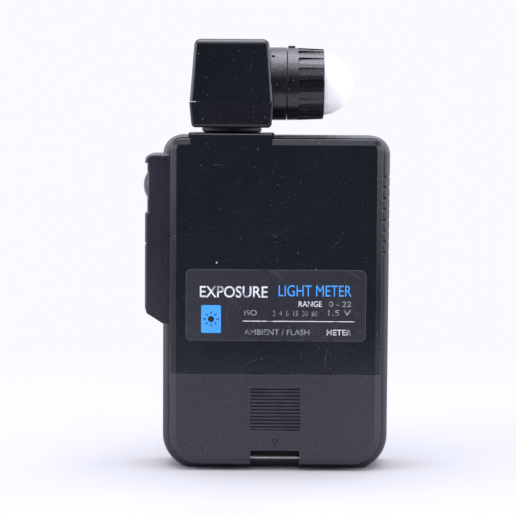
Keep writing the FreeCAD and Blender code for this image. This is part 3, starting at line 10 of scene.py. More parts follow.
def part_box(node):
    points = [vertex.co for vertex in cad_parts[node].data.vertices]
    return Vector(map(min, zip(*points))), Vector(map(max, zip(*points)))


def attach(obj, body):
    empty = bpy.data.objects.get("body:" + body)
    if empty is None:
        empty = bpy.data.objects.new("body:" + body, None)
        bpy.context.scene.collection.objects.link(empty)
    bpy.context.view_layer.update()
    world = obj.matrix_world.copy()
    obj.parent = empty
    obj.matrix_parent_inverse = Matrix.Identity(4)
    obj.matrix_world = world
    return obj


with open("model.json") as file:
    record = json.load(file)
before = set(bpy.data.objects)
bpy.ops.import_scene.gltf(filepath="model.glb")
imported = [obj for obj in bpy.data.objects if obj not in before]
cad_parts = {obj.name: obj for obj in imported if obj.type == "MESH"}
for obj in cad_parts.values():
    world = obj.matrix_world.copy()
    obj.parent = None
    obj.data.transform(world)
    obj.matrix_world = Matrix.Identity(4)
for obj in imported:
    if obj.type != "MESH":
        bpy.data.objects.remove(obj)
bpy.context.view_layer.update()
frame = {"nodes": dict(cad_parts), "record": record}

# Handheld light meter, seen from behind. Everything is in metres, in the CAD frame: +Z up, -Y out of
# the rear cover. MM turns millimetres into metres. DATUM is the height of the line just above the foot,
# in millimetres, that marks on the faces are measured from.

MM = 0.001
DATUM = 1.9
NODES = frame["nodes"]
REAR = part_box("rear_cover")[0].y
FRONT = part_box("front_case")[1].y


# ---------------------------------------------------------------- node helpers


class Nodes:
    """Builds a material's node tree from short calls."""

    def __init__(self, name):
        self.material = bpy.data.materials.new(name)
        self.material.use_nodes = True
        self.tree = self.material.node_tree
        self.shader = self.tree.nodes["Principled BSDF"]
        self.place = self.add("ShaderNodeTexCoord").outputs["Object"]

    def add(self, kind, **settings):
        node = self.tree.nodes.new(kind)
        for key, value in settings.items():
            setattr(node, key, value)
        return node

    def link(self, source, target):
        self.tree.links.new(source, target)

    def put(self, target, value):
        """Sets an input to a plain value or links it to another node's output."""
        if hasattr(value, "is_linked"):
            self.link(value, target)
        elif isinstance(value, (tuple, list)) and len(value) == 3 and len(target.default_value) == 4:
            target.default_value = (*value, 1)
        else:
            target.default_value = value

    def math(self, operation, a, b=0.0, clamp=False):
        node = self.add("ShaderNodeMath", operation=operation, use_clamp=clamp)
        self.put(node.inputs[0], a)
        self.put(node.inputs[1], b)
        return node.outputs[0]

    def noise(self, scale, detail=3.0, rough=0.55, stretch=(1, 1, 1), shift=0.0):
        spread = self.add("ShaderNodeMapping")
        self.link(self.place, spread.inputs["Vector"])
        spread.inputs["Scale"].default_value = stretch
        spread.inputs["Location"].default_value = (shift, shift * 0.7, shift * 1.3)
        node = self.add("ShaderNodeTexNoise")
        self.link(spread.outputs[0], node.inputs["Vector"])
        node.inputs["Scale"].default_value = scale
        node.inputs["Detail"].default_value = detail
        node.inputs["Roughness"].default_value = rough
        return node.outputs["Fac"]

    def ramp(self, value, low, high, start=0.0, end=1.0):
        """Maps value from low..high to start..end, and holds the ends."""
        node = self.add("ShaderNodeMapRange")
        self.put(node.inputs["Value"], value)
        node.inputs["From Min"].default_value = low
        node.inputs["From Max"].default_value = high
        node.inputs["To Min"].default_value = start
        node.inputs["To Max"].default_value = end
        return node.outputs[0]

    def mix(self, amount, one, other):
        node = self.add("ShaderNodeMix", data_type="RGBA")
        self.put(node.inputs[0], amount)
        self.put(node.inputs[6], one)
        self.put(node.inputs[7], other)
        return node.outputs[2]

    def set(self, name, value):
        self.put(self.shader.inputs[name], value)

    def bump(self, height, strength, distance, under=None):
        node = self.add("ShaderNodeBump")
        node.inputs["Strength"].default_value = strength
        node.inputs["Distance"].default_value = distance
        self.put(node.inputs["Height"], height)
        if under is not None:
            self.link(under, node.inputs["Normal"])
        self.link(node.outputs[0], self.shader.inputs["Normal"])
        return node.outputs[0]


def shade(rgb, gain):
    return tuple(min(1.0, c * gain) for c in rgb)


def srgb(red, green, blue):
    """A colour given in screen values, 0 to 255, as linear light."""
    out = []
    for value in (red, green, blue):
        c = value / 255
        out.append(c / 12.92 if c <= 0.04045 else ((c + 0.055) / 1.055) ** 2.4)
    return tuple(out)


# ---------------------------------------------------------------- materials


EDGE_RADIUS = 0.5 * MM
EDGE_GAIN = 3.0
GRAIN_SCALE = 550 / 0.35


def edge_mask(n):
    """Near 1 on sharp edges and 0 on flat faces."""
    bevel = n.add("ShaderNodeBevel", samples=4)
    bevel.inputs["Radius"].default_value = EDGE_RADIUS
    geometry = n.add("ShaderNodeNewGeometry")
    dot = n.add("ShaderNodeVectorMath", operation="DOT_PRODUCT")
    n.link(bevel.outputs[0], dot.inputs[0])
    n.link(geometry.outputs["Normal"], dot.inputs[1])
    return n.math("MULTIPLY", n.math("SUBTRACT", 1.0, dot.outputs["Value"]), EDGE_GAIN, clamp=True)


def moulded(name, colour, rough, grain=0.0, wear=0.0, scratches=0.0,
            specks=0.0, cloud=0.15, gloss=0.5, painted_top_light=0.0):
    """Moulded plastic: colour, roughness, grain depth in mm, then how much wear, scratching and dust.

    The painted top light lies only on what faces up when the meter stands at rest: a pale film that makes
    up-facing faces read lighter, as if lit from above.
    """
    n = Nodes(name)
    patches = n.noise(28, 4)
    fine = n.noise(2100, 1)
    base = n.mix(n.ramp(patches, 0.3, 0.7), shade(colour, 1 - cloud), shade(colour, 1 + cloud))
    base = n.mix(n.ramp(fine, 0.62, 0.42, 0.0, 0.5), base, shade(colour, 0.62))
    base = n.mix(n.ramp(fine, 0.5, 0.7, 0.0, 0.6), base, shade(colour, 1.6))
    roughness = n.ramp(patches, 0.3, 0.7, rough - 0.05, rough + 0.06)
    if scratches:
        marks = scratch_mask(n)
        base = n.mix(n.math("MULTIPLY", marks, scratches), base, srgb(128, 130, 140))
        roughness = n.math("ADD", roughness, n.math("MULTIPLY", marks, 0.3), clamp=True)
    if specks:
        dust = n.ramp(n.noise(1500, 1, shift=3.1), 0.735, 0.775)
        base = n.mix(n.math("MULTIPLY", dust, specks), base, srgb(190, 190, 196))
    # Painted top light: faces that point up get a pale, rougher film so they read lighter, as if lit from
    # above.
    if painted_top_light:
        facing = n.add("ShaderNodeSeparateXYZ")
        n.link(n.add("ShaderNodeTexCoord").outputs["Normal"], facing.inputs[0])
        film = n.math("MULTIPLY", n.ramp(facing.outputs["Z"], 0.1, 0.75),
                      n.ramp(n.noise(1700, 2, shift=9.1), 0.40, 0.62, 0.25, 1.0))
        base = n.mix(n.math("MULTIPLY", film, painted_top_light), base, srgb(132, 133, 144))
        roughness = n.math("ADD", roughness, n.math("MULTIPLY", film, 0.35), clamp=True)
    if wear:
        worn = n.math("MULTIPLY", edge_mask(n), n.ramp(n.noise(160, 4, shift=1.7), 0.42, 0.6))
        base = n.mix(n.math("MULTIPLY", worn, wear), base, srgb(120, 122, 130))
    n.set("Base Color", base)
    n.set("Roughness", roughness)
    n.set("Specular IOR Level", gloss)
    normal = None
    if grain:
        cells = n.noise(GRAIN_SCALE, 3, 0.6)
        normal = n.bump(cells, 1.0, grain * MM)
    n.bump(n.noise(60, 2, shift=5.0), 0.25, 0.05 * MM, normal)
    return n.material


def scratch_mask(n):
    """Fine hairline scratches that run in several directions."""
    total = None
    for turn, shift in ((0.5, 0.0), (-0.9, 2.3), (1.4, 4.1)):
        spin = n.add("ShaderNodeMapping", vector_type="TEXTURE")
        n.link(n.place, spin.inputs["Vector"])
        spin.inputs["Rotation"].default_value = (0, turn, 0)
        spin.inputs["Scale"].default_value = (30, 1, 1)
        spin.inputs["Location"].default_value = (shift, shift, shift)
        node = n.add("ShaderNodeTexNoise")
        n.link(spin.outputs[0], node.inputs["Vector"])
        node.inputs["Scale"].default_value = 2600
        node.inputs["Detail"].default_value = 0
        line = n.ramp(node.outputs["Fac"], 0.74, 0.78)
        total = line if total is None else n.math("ADD", total, line, clamp=True)
    broken = n.ramp(n.noise(150, 2, shift=7.7), 0.48, 0.66)
    return n.math("MULTIPLY", total, broken)


STAIN = 0.2


def metal(name, colour, rough, brush=(1, 1, 1)):
    """Metal with brush marks stretched along an axis, and dull stains."""
    n = Nodes(name)
    streaks = n.noise(700, 3, stretch=brush)
    stain = n.ramp(n.noise(90, 3, shift=2.0), 0.45, 0.7)
    base = n.mix(n.math("MULTIPLY", stain, STAIN), colour, shade(colour, 0.45))
    n.set("Base Color", base)
    n.set("Metallic", 1.0)
    n.set("Roughness", n.ramp(streaks, 0.3, 0.7, rough - 0.07, rough + 0.1))
    n.bump(streaks, 0.5, 0.006 * MM)
    return n.material


def dome_material():
    n = Nodes("dome_white")
    haze = n.ramp(n.noise(45, 3), 0.35, 0.65)
    n.set("Base Color", n.mix(haze, srgb(234, 234, 238), srgb(240, 240, 243)))
    n.set("Roughness", n.ramp(n.noise(200, 3, shift=1.0), 0.3, 0.7, 0.42, 0.55))
    n.set("Subsurface Weight", 0.8)
    n.set("Subsurface Radius", (6 * MM, 5.8 * MM, 5.6 * MM))
    n.set("Subsurface Scale", 1.0)
    # Painted glow: the dome gives off a little light of its own, though it is no lamp, which softens its
    # shading.
    n.set("Emission Color", (*srgb(236, 236, 243), 1))
    n.set("Emission Strength", 0.16)
    n.bump(n.noise(1200, 2), 0.25, 0.02 * MM)
    return n.material


def print_material(name, colour, worn=0.5, size=260, glow=0.0):
    """Printed ink that has partly rubbed off: the bare patches are transparent."""
    n = Nodes(name)
    n.set("Base Color", n.mix(n.ramp(n.noise(700, 2), 0.3, 0.7), shade(colour, 0.88), colour))
    n.set("Roughness", n.ramp(n.noise(400, 2, shift=4.4), 0.3, 0.7, 0.4, 0.6))
    # Painted glow: when glow is set, the ink gives off a little light of its own, though it is no lamp.
    if glow:
        n.set("Emission Color", colour)
        n.set("Emission Strength", glow)
    bare = 0.5 + (0.5 - worn) * 0.3
    gone = n.ramp(n.noise(size, 4, 0.65, shift=worn * 9), bare, bare + 0.06)
    n.set("Alpha", n.math("SUBTRACT", 1.0, n.math("MULTIPLY", gone, min(1.0, worn * 1.6)), clamp=True))
    return n.material


def window_material():
    n = Nodes("window_clear")
    n.set("Base Color", n.mix(n.ramp(n.noise(40, 2), 0.3, 0.7), (0.9, 0.93, 0.92), (0.95, 0.96, 0.96)))
    n.set("Transmission Weight", 1.0)
    n.set("IOR", 1.35)
    n.set("Roughness", n.ramp(n.noise(90, 3), 0.35, 0.65, 0.02, 0.07))
    n.bump(n.noise(30, 2), 0.2, 0.05 * MM)
    return n.material


def lcd_material():
    n = Nodes("lcd_glass")
    n.set("Base Color", n.mix(n.ramp(n.noise(25, 3), 0.3, 0.7), srgb(146, 152, 134), srgb(158, 163, 146)))
    n.set("Roughness", n.ramp(n.noise(800, 2), 0.3, 0.7, 0.25, 0.35))
    n.bump(n.noise(1500, 2), 0.2, 0.01 * MM)
    return n.material


def board_material():
    """Solder mask with the traces showing through as a slightly lighter pattern."""
    n = Nodes("board_green")
    cells = n.add("ShaderNodeTexBrick")
    n.link(n.place, cells.inputs["Vector"])
    cells.inputs["Scale"].default_value = 180
    cells.inputs["Mortar Size"].default_value = 0.03
    cells.inputs["Color1"].default_value = (*srgb(18, 78, 44), 1)
    cells.inputs["Color2"].default_value = (*srgb(14, 66, 38), 1)
    cells.inputs["Mortar"].default_value = (*srgb(40, 112, 66), 1)
    n.set("Base Color", cells.outputs["Color"])
    n.set("Roughness", n.ramp(n.noise(300, 3), 0.3, 0.7, 0.28, 0.42))
    n.bump(cells.outputs["Fac"], 0.4, 0.03 * MM)
    return n.material


def jacket_material():
    """A cell's film jacket: dark body, a lighter band at the plus end."""
    n = Nodes("cell_jacket")
    split = n.add("ShaderNodeSeparateXYZ")
    n.link(n.place, split.inputs[0])
    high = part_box("battery_cell")[1]
    band = n.ramp(split.outputs["X"], high.x - 14 * MM, high.x - 13.9 * MM)
    steel = n.ramp(split.outputs["X"], high.x - 2.2 * MM, high.x - 2.1 * MM)
    body = n.mix(n.ramp(n.noise(60, 3), 0.3, 0.7), srgb(38, 40, 46), srgb(52, 54, 60))
    cap = n.mix(n.ramp(n.noise(80, 3), 0.3, 0.7), srgb(196, 120, 52), srgb(208, 134, 66))
    n.set("Base Color", n.mix(steel, n.mix(band, body, cap), srgb(200, 200, 204)))
    n.set("Metallic", steel)
    n.set("Roughness", n.ramp(n.noise(300, 3), 0.3, 0.7, 0.22, 0.34))
    n.bump(n.noise(500, 2), 0.3, 0.01 * MM)
    return n.material


def foam_material():
    n = Nodes("foam")
    pores = n.noise(1400, 4, 0.7)
    n.set("Base Color", n.mix(n.ramp(pores, 0.4, 0.6), srgb(28, 28, 30), srgb(58, 58, 60)))
    n.set("Roughness", n.ramp(pores, 0.3, 0.7, 0.85, 1.0))
    n.bump(pores, 1.0, 0.12 * MM)
    return n.material


def filter_material():
    n = Nodes("filter_glass")
    n.set("Base Color", n.mix(n.ramp(n.noise(90, 2), 0.3, 0.7), (0.42, 0.72, 0.66), (0.5, 0.8, 0.74)))
    n.set("Transmission Weight", 0.9)
    n.set("Roughness", n.ramp(n.noise(300, 2), 0.3, 0.7, 0.04, 0.12))
    n.bump(n.noise(200, 2), 0.1, 0.01 * MM)
    return n.material


def make_materials():
    return {
        "case_plastic": moulded("case_plastic", srgb(42, 43, 53), 0.34, 0.02,
                                wear=0.5, specks=0.1, painted_top_light=0.55),
        "cover_plastic": moulded("cover_plastic", srgb(22, 25, 31), 0.2,
                                 wear=0.25, specks=0.2, cloud=0.1),
        "door_plastic": moulded("door_plastic", srgb(45, 46, 55), 0.42, 0.025, wear=0.3, specks=0.15),
        "plate_print": moulded("plate_print", srgb(37, 38, 47), 0.4, 0.008, scratches=0.12, specks=0.2),
        "head_plastic": moulded("head_plastic", srgb(20, 22, 29), 0.2, 0.008,
                                wear=0.08, specks=0.22, cloud=0.1),
        "ring_plastic": moulded("ring_plastic", srgb(19, 20, 26), 0.17, 0.02,
                                wear=0.15, specks=0.2, gloss=0.6, painted_top_light=0.3),
        "dome_white": dome_material(),
        "inner_plastic": moulded("inner_plastic", srgb(30, 30, 33), 0.5, 0.02),
        "button_plastic": moulded("button_plastic", srgb(34, 35, 41), 0.3, 0.01, wear=0.3),
        "key_plastic": moulded("key_plastic", srgb(112, 116, 124), 0.42, 0.015, wear=0.2),
        "power_plastic": moulded("power_plastic", srgb(196, 84, 44), 0.4, 0.015, wear=0.2),
        "window_clear": window_material(),
        "lcd_glass": lcd_material(),
        "board_green": board_material(),
        "chip_black": moulded("chip_black", srgb(26, 26, 28), 0.55, 0.02),
        "silicone": moulded("silicone", srgb(126, 128, 132), 0.6, 0.01),
        "foam": foam_material(),
        "steel": metal("steel", srgb(186, 187, 190), 0.3, (0.1, 1, 1)),
        "spring_steel": metal("spring_steel", srgb(206, 207, 210), 0.18),
        "brass_metal": metal("brass_metal", srgb(206, 176, 108), 0.24, (1, 0.2, 0.2)),
        "black_steel": metal("black_steel", srgb(52, 53, 58), 0.34),
        "aluminium_black": moulded("aluminium_black", srgb(16, 17, 20), 0.42, 0.006, gloss=0.3),
        "cell_jacket": jacket_material(),
        "cable_jacket": moulded("cable_jacket", srgb(34, 34, 36), 0.6, 0.01),
        "filter_glass": filter_material(),
    }


FINISH = make_materials()
SLOTS = {entry["node"]: entry["material_slot"] for entry in frame["record"]["subparts"]}


def dress_cad_nodes():
    for name, obj in NODES.items():
        obj.data.materials.clear()
        obj.data.materials.append(FINISH[SLOTS[name]])
        for face in obj.data.polygons:
            face.material_index = 0


# ---------------------------------------------------------------- mesh helpers


def piece(name, mesh, material, body):
    obj = bpy.data.objects.new(name, mesh)
    bpy.context.scene.collection.objects.link(obj)
    mesh.materials.clear()
    mesh.materials.append(material)
    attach(obj, body)
    return obj


def to_mesh(name, bm):
    mesh = bpy.data.meshes.new(name)
    bm.normal_update()
    bm.to_mesh(mesh)
    bm.free()
    return mesh


REAR_FACE = Matrix(((1, 0, 0), (0, 0, -1), (0, 1, 0))).to_4x4()
FRONT_FACE = Matrix(((-1, 0, 0), (0, 0, 1), (0, 1, 0))).to_4x4()


def on_rear(x, z, lift=0.0):
    """A frame drawn on the rear face: its x runs to +X, its y up, its z out of the face."""
    return Matrix.Translation((x, REAR - lift, z)) @ REAR_FACE


def on_front(x, z, y):
    return Matrix.Translation((x, y, z)) @ FRONT_FACE


def words(name, text, place, width, height, material, body, bold=0.0, thick=0.02):
    """Lettering fitted into a box whose lower left corner is at the frame's origin."""
    curve = bpy.data.curves.new(name, "FONT")
    curve.body = text
    curve.size = 1.0
    curve.offset = bold
    curve.resolution_u = 6
    holder = bpy.data.objects.new(name + "_text", curve)
    bpy.context.scene.collection.objects.link(holder)
    bpy.context.view_layer.update()
    mesh = bpy.data.meshes.new_from_object(holder.evaluated_get(bpy.context.evaluated_depsgraph_get()))
    bpy.data.objects.remove(holder)
    xs = [v.co.x for v in mesh.vertices]
    ys = [v.co.y for v in mesh.vertices]
    fit = Matrix.Diagonal((width / (max(xs) - min(xs)), height / (max(ys) - min(ys)), 1, 1))
    shift = Matrix.Translation((-min(xs), -min(ys), 0))
    lift = Matrix.Translation((0, 0, thick * MM))
    mesh.transform(place @ lift @ fit @ shift)
    mesh.name = name
    return piece(name, mesh, material, body)


def rounded_loop(width, height, radius, steps=6):
    """Corners of a rounded box round the origin, in order."""
    loop = []
    for turn, (sx, sy) in enumerate(((1, 1), (-1, 1), (-1, -1), (1, -1))):
        middle = Vector((sx * (width / 2 - radius), sy * (height / 2 - radius), 0))
        for step in range(steps + 1):
            angle = math.pi / 2 * (turn + step / steps)
            loop.append(middle + Vector((math.cos(angle), math.sin(angle), 0)) * radius)
    return loop


def slab(bm, loop, place, thick):
    """A flat-topped sheet with the outline of the loop."""
    top = [bm.verts.new(place @ (p + Vector((0, 0, thick)))) for p in loop]
    low = [bm.verts.new(place @ p) for p in loop]
    bm.faces.new(top)
    bm.faces.new(list(reversed(low)))
    for i in range(len(loop)):
        j = (i + 1) % len(loop)
        bm.faces.new((low[i], low[j], top[j], top[i]))


def band(bm, outer, inner, place, thick):
    """A flat frame between two loops with the same number of points."""
    rings = []
    for loop, lift in ((outer, 0.0), (outer, thick), (inner, thick), (inner, 0.0)):
        rings.append([bm.verts.new(place @ (p + Vector((0, 0, lift)))) for p in loop])
    count = len(outer)
    for ring, after in zip(rings, rings[1:] + rings[:1]):
        for i in range(count):
            j = (i + 1) % count
            bm.faces.new((ring[i], ring[j], after[j], after[i]))


HAIRLINE_THICK = 0.006 * MM


def ribbon(bm, points, width, place):
    """A hairline strip along points, widest in the middle and pointed at both ends."""
    left, right = [], []
    lift = Vector((0, 0, HAIRLINE_THICK))
    last = len(points) - 1
    for i, point in enumerate(points):
        ahead = points[min(i + 1, last)] - points[max(i - 1, 0)]
        side = Vector((-ahead.y, ahead.x, 0)).normalized()
        half = width / 2 * (0.15 + 0.85 * math.sin(math.pi * i / last))
        left.append(bm.verts.new(place @ (point + side * half + lift)))
        right.append(bm.verts.new(place @ (point - side * half + lift)))
    for i in range(last):
        bm.faces.new((left[i], right[i], right[i + 1], left[i + 1]))


# ---------------------------------------------------------------- name plate print


WHITE_INK = print_material("ink_white", srgb(222, 223, 230), 0.36, 300)
FADED_INK = print_material("ink_faded", srgb(140, 141, 150), 0.42, 420)
# Painted glow: the blue ink gives off a little light of its own, so that it reads brighter.
BLUE_INK = print_material("ink_blue", srgb(62, 156, 246), 0.12, 420, 0.12)
DARK_INK = print_material("ink_dark", srgb(22, 24, 30), 0.05, 300)
EDGE_INK = print_material("plate_edge", srgb(70, 71, 82), 0.3, 300)
SUN_THICK = 0.035 * MM
COUNT_RAYS = 8


def name_plate():
    low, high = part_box("name_plate")
    lift = REAR - low.y
    left, top = low.x, high.z

    def spot(x, z):
        """A place on the plate, in millimetres right of its left edge and below its top edge."""
        return on_rear(left + x * MM, top - z * MM, lift)

    words("plate_word_white", "EXPOSURE", spot(4.5, 9.0), 21.6 * MM, 3.7 * MM, WHITE_INK, "case", 0.012)
    words("plate_word_blue", "LIGHT METER", spot(29.6, 8.5), 23.2 * MM, 3.6 * MM, BLUE_INK, "case", 0.0)
    words("plate_word_kind", "RANGE", spot(36.0, 11.8), 7.4 * MM, 1.8 * MM, WHITE_INK, "case", 0.008)
    words("plate_word_range", "0 - 22", spot(45.6, 11.8), 7.2 * MM, 1.8 * MM, FADED_INK, "case", 0.01)
    words("plate_word_iso", "ISO", spot(18.7, 14.7), 4.0 * MM, 1.8 * MM, FADED_INK, "case", 0.01)
    words("plate_numbers", "2  4  8  15  30  60", spot(27.8, 14.8), 14.2 * MM, 1.7 * MM, FADED_INK, "case")
    words("plate_word_volts", "1.5 V", spot(45.4, 14.6), 7.3 * MM, 1.8 * MM, FADED_INK, "case", 0.01)
    words("plate_word_cell", "AMBIENT / FLASH", spot(18.7, 20.9), 20.8 * MM, 1.8 * MM, FADED_INK, "case",
          0.01)
    words("plate_word_size", "METER", spot(45.0, 20.9), 7.8 * MM, 1.8 * MM, WHITE_INK, "case", 0.008)

    rule = bmesh.new()
    slab(rule, rounded_loop(35.6 * MM, 0.26 * MM, 0.1 * MM, 2), spot(18.2 + 17.8, 16.5), 0.015 * MM)
    piece("plate_rule", to_mesh("plate_rule", rule), WHITE_INK, "case")

    middle = spot(8.1, 15.9)
    tile = bmesh.new()
    slab(tile, rounded_loop(6.3 * MM, 8.9 * MM, 0.5 * MM), middle, 0.02 * MM)
    piece("plate_tile", to_mesh("plate_tile", tile), BLUE_INK, "case")
    sun_mark(middle)

    edge = bmesh.new()
    width, height = high.x - low.x, high.z - low.z
    band(edge, rounded_loop(width - 0.15 * MM, height - 0.15 * MM, 1.62 * MM),
         rounded_loop(width - 0.5 * MM, height - 0.5 * MM, 1.45 * MM),
         spot(width / 2 / MM, height / 2 / MM), 0.01 * MM)
    piece("plate_edge_line", to_mesh("plate_edge_line", edge), EDGE_INK, "case")


def sun_mark(middle):
    """A plain sun: a disc with rays round it."""
    mark = bmesh.new()
    slab(mark, rounded_loop(2.0 * MM, 2.0 * MM, 0.99 * MM), middle, SUN_THICK)
    for i in range(COUNT_RAYS):
        turn = Matrix.Rotation(2 * math.pi * i / COUNT_RAYS, 4, "Z")
        ray = middle @ turn @ Matrix.Translation((0, 2.0 * MM, 0))
        slab(mark, rounded_loop(0.34 * MM, 0.9 * MM, 0.1 * MM, 2), ray, SUN_THICK)
    piece("plate_tile_mark", to_mesh("plate_tile_mark", mark), DARK_INK, "case")


# ---------------------------------------------------------------- wear on the rear cover and dust on the battery door


def hairline_material(name, colour, strength):
    n = Nodes(name)
    n.set("Base Color", n.mix(n.ramp(n.noise(500, 2), 0.3, 0.7), shade(colour, 0.6), colour))
    n.set("Roughness", n.ramp(n.noise(300, 2), 0.3, 0.7, 0.4, 0.6))
    fade = n.ramp(n.noise(350, 2, shift=6.0), 0.35, 0.6, 0.05, strength)
    n.set("Alpha", fade)
    return n.material


def scratch(bm, rng, x, z, length, angle, width, place):
    """A slightly curved hairline from (x, z), in millimetres on the rear face."""
    bend = rng.uniform(-0.5, 0.5)
    points = []
    steps = 7
    for i in range(steps + 1):
        t = i / steps
        heading = angle + bend * (t - 0.5)
        reach = length * t
        points.append(Vector((x + math.cos(heading) * reach, z + math.sin(heading) * reach, 0)) * MM)
    ribbon(bm, points, width * MM, place)


def cover_wear():
    rng = random.Random(7)
    face = on_rear(0, DATUM * MM, 0.004 * MM)
    faint = hairline_material("scratch_faint", srgb(104, 106, 118), 0.32)
    bright = hairline_material("scratch_bright", srgb(150, 152, 162), 0.6)

    many = bmesh.new()
    for _ in range(46):
        x, z = rng.uniform(-28, 28), rng.choice((rng.uniform(66, 103), rng.uniform(31.5, 39)))
        scratch(many, rng, x, z, rng.uniform(1, 7), rng.uniform(0, math.pi), rng.uniform(0.03, 0.07), face)
    piece("cover_hairlines", to_mesh("cover_hairlines", many), faint, "case")

    few = bmesh.new()
    for x, z, length, angle, width in (
            (-3.6, 75.6, 4.4, -0.15, 0.12), (0.6, 74.9, 4.0, 0.55, 0.12), (-14.0, 88.5, 6.0, 1.1, 0.08),
            (8.0, 96.0, 7.0, 0.25, 0.07), (-24.0, 84.0, 5.0, 1.9, 0.07), (17.0, 70.0, 5.0, 0.9, 0.08),
            (12.0, 86.0, 4.0, -0.7, 0.07), (-9.5, 33.5, 8.0, 0.45, 0.07),
            (15.9, 31.3, 7.4, math.pi / 2, 0.09),
            (-20.0, 97.0, 4.0, 0.1, 0.09), (24.6, 40.6, 4.6, 0.35, 0.09)):
        scratch(few, rng, x, z, length, angle, width, face)
    piece("cover_scratches", to_mesh("cover_scratches", few), bright, "case")

    specks = bmesh.new()
    dust = [(-18.9, 66.1, 0.42), (12.6, 64.2, 0.16), (-6.2, 102.2, 0.14), (6.8, 69.4, 0.15)]
    dust += [(rng.uniform(-29, 29), rng.uniform(65, 103), rng.uniform(0.05, 0.10)) for _ in range(26)]
    dust += [(rng.uniform(-29, 29), rng.uniform(31, 39), rng.uniform(0.05, 0.09)) for _ in range(14)]
    flecks(specks, rng, dust, face)
    piece("cover_dust", to_mesh("cover_dust", specks), DUST, "case")


def flecks(bm, rng, spots, place):
    """Tiny flattened grains of dust, each a low cone with an uneven outline."""
    for x, z, radius in spots:
        middle = bm.verts.new(place @ (Vector((x, z, 0.05)) * MM))
        ring = []
        for i in range(7):
            reach = radius * rng.uniform(0.6, 1.1)
            angle = 2 * math.pi * i / 7
            ring.append(bm.verts.new(place @ (Vector((x + reach * math.cos(angle),
                                                     z + 0.75 * reach * math.sin(angle), 0)) * MM)))
        for i in range(7):
            bm.faces.new((middle, ring[i], ring[(i + 1) % 7]))


def door_dust():
    rng = random.Random(11)
    face = on_rear(0, DATUM * MM, 0.002 * MM)
    spots = [(rng.uniform(-28, 28), rng.uniform(5, 28), rng.uniform(0.05, 0.11)) for _ in range(24)]
    spots = [s for s in spots if not (abs(s[0]) < 9 and (s[1] > 11 or s[1] < 10))]
    bm = bmesh.new()
    flecks(bm, rng, spots, face)
    piece("door_dust", to_mesh("door_dust", bm), DUST, "door")


# ---------------------------------------------------------------- display side


SEGMENTS = {
    "0": "abcdef", "1": "bc", "2": "abged", "3": "abgcd", "4": "fgbc", "5": "afgcd",
    "6": "afgedc", "7": "abc", "8": "abcdefg", "9": "abcdfg",
}
FIGURE_THICK = 0.01 * MM
COUNT_TICKS = 23


def digit(bm, symbol, place, width, height, stroke):
    """A seven-segment digit whose lower left corner is at the frame's origin."""
    across, up = width - stroke, height / 2 - stroke * 0.75
    layout = {
        "a": (width / 2, height - stroke / 2, across, True), "g": (width / 2, height / 2, across, True),
        "d": (width / 2, stroke / 2, across, True),
        "f": (stroke / 2, height * 0.75, up, False), "b": (width - stroke / 2, height * 0.75, up, False),
        "e": (stroke / 2, height * 0.25, up, False), "c": (width - stroke / 2, height * 0.25, up, False),
    }
    for name in SEGMENTS[symbol]:
        x, z, length, flat = layout[name]
        half, arm = length / 2 - stroke * 0.12, stroke / 2
        outline = [(-half, 0), (-half + arm, -arm), (half - arm, -arm),
                   (half, 0), (half - arm, arm), (-half + arm, arm)]
        points = [Vector((x + a, z + b, 0)) if flat else Vector((x - b, z + a, 0)) for a, b in outline]
        slab(bm, points, place, FIGURE_THICK)


def digits(bm, text, spot, x, z, pitch, width, height, stroke):
    """A row of digits, in millimetres from the display's middle."""
    for i, symbol in enumerate(text):
        digit(bm, symbol, spot(x + pitch * i, z), width * MM, height * MM, stroke * MM)


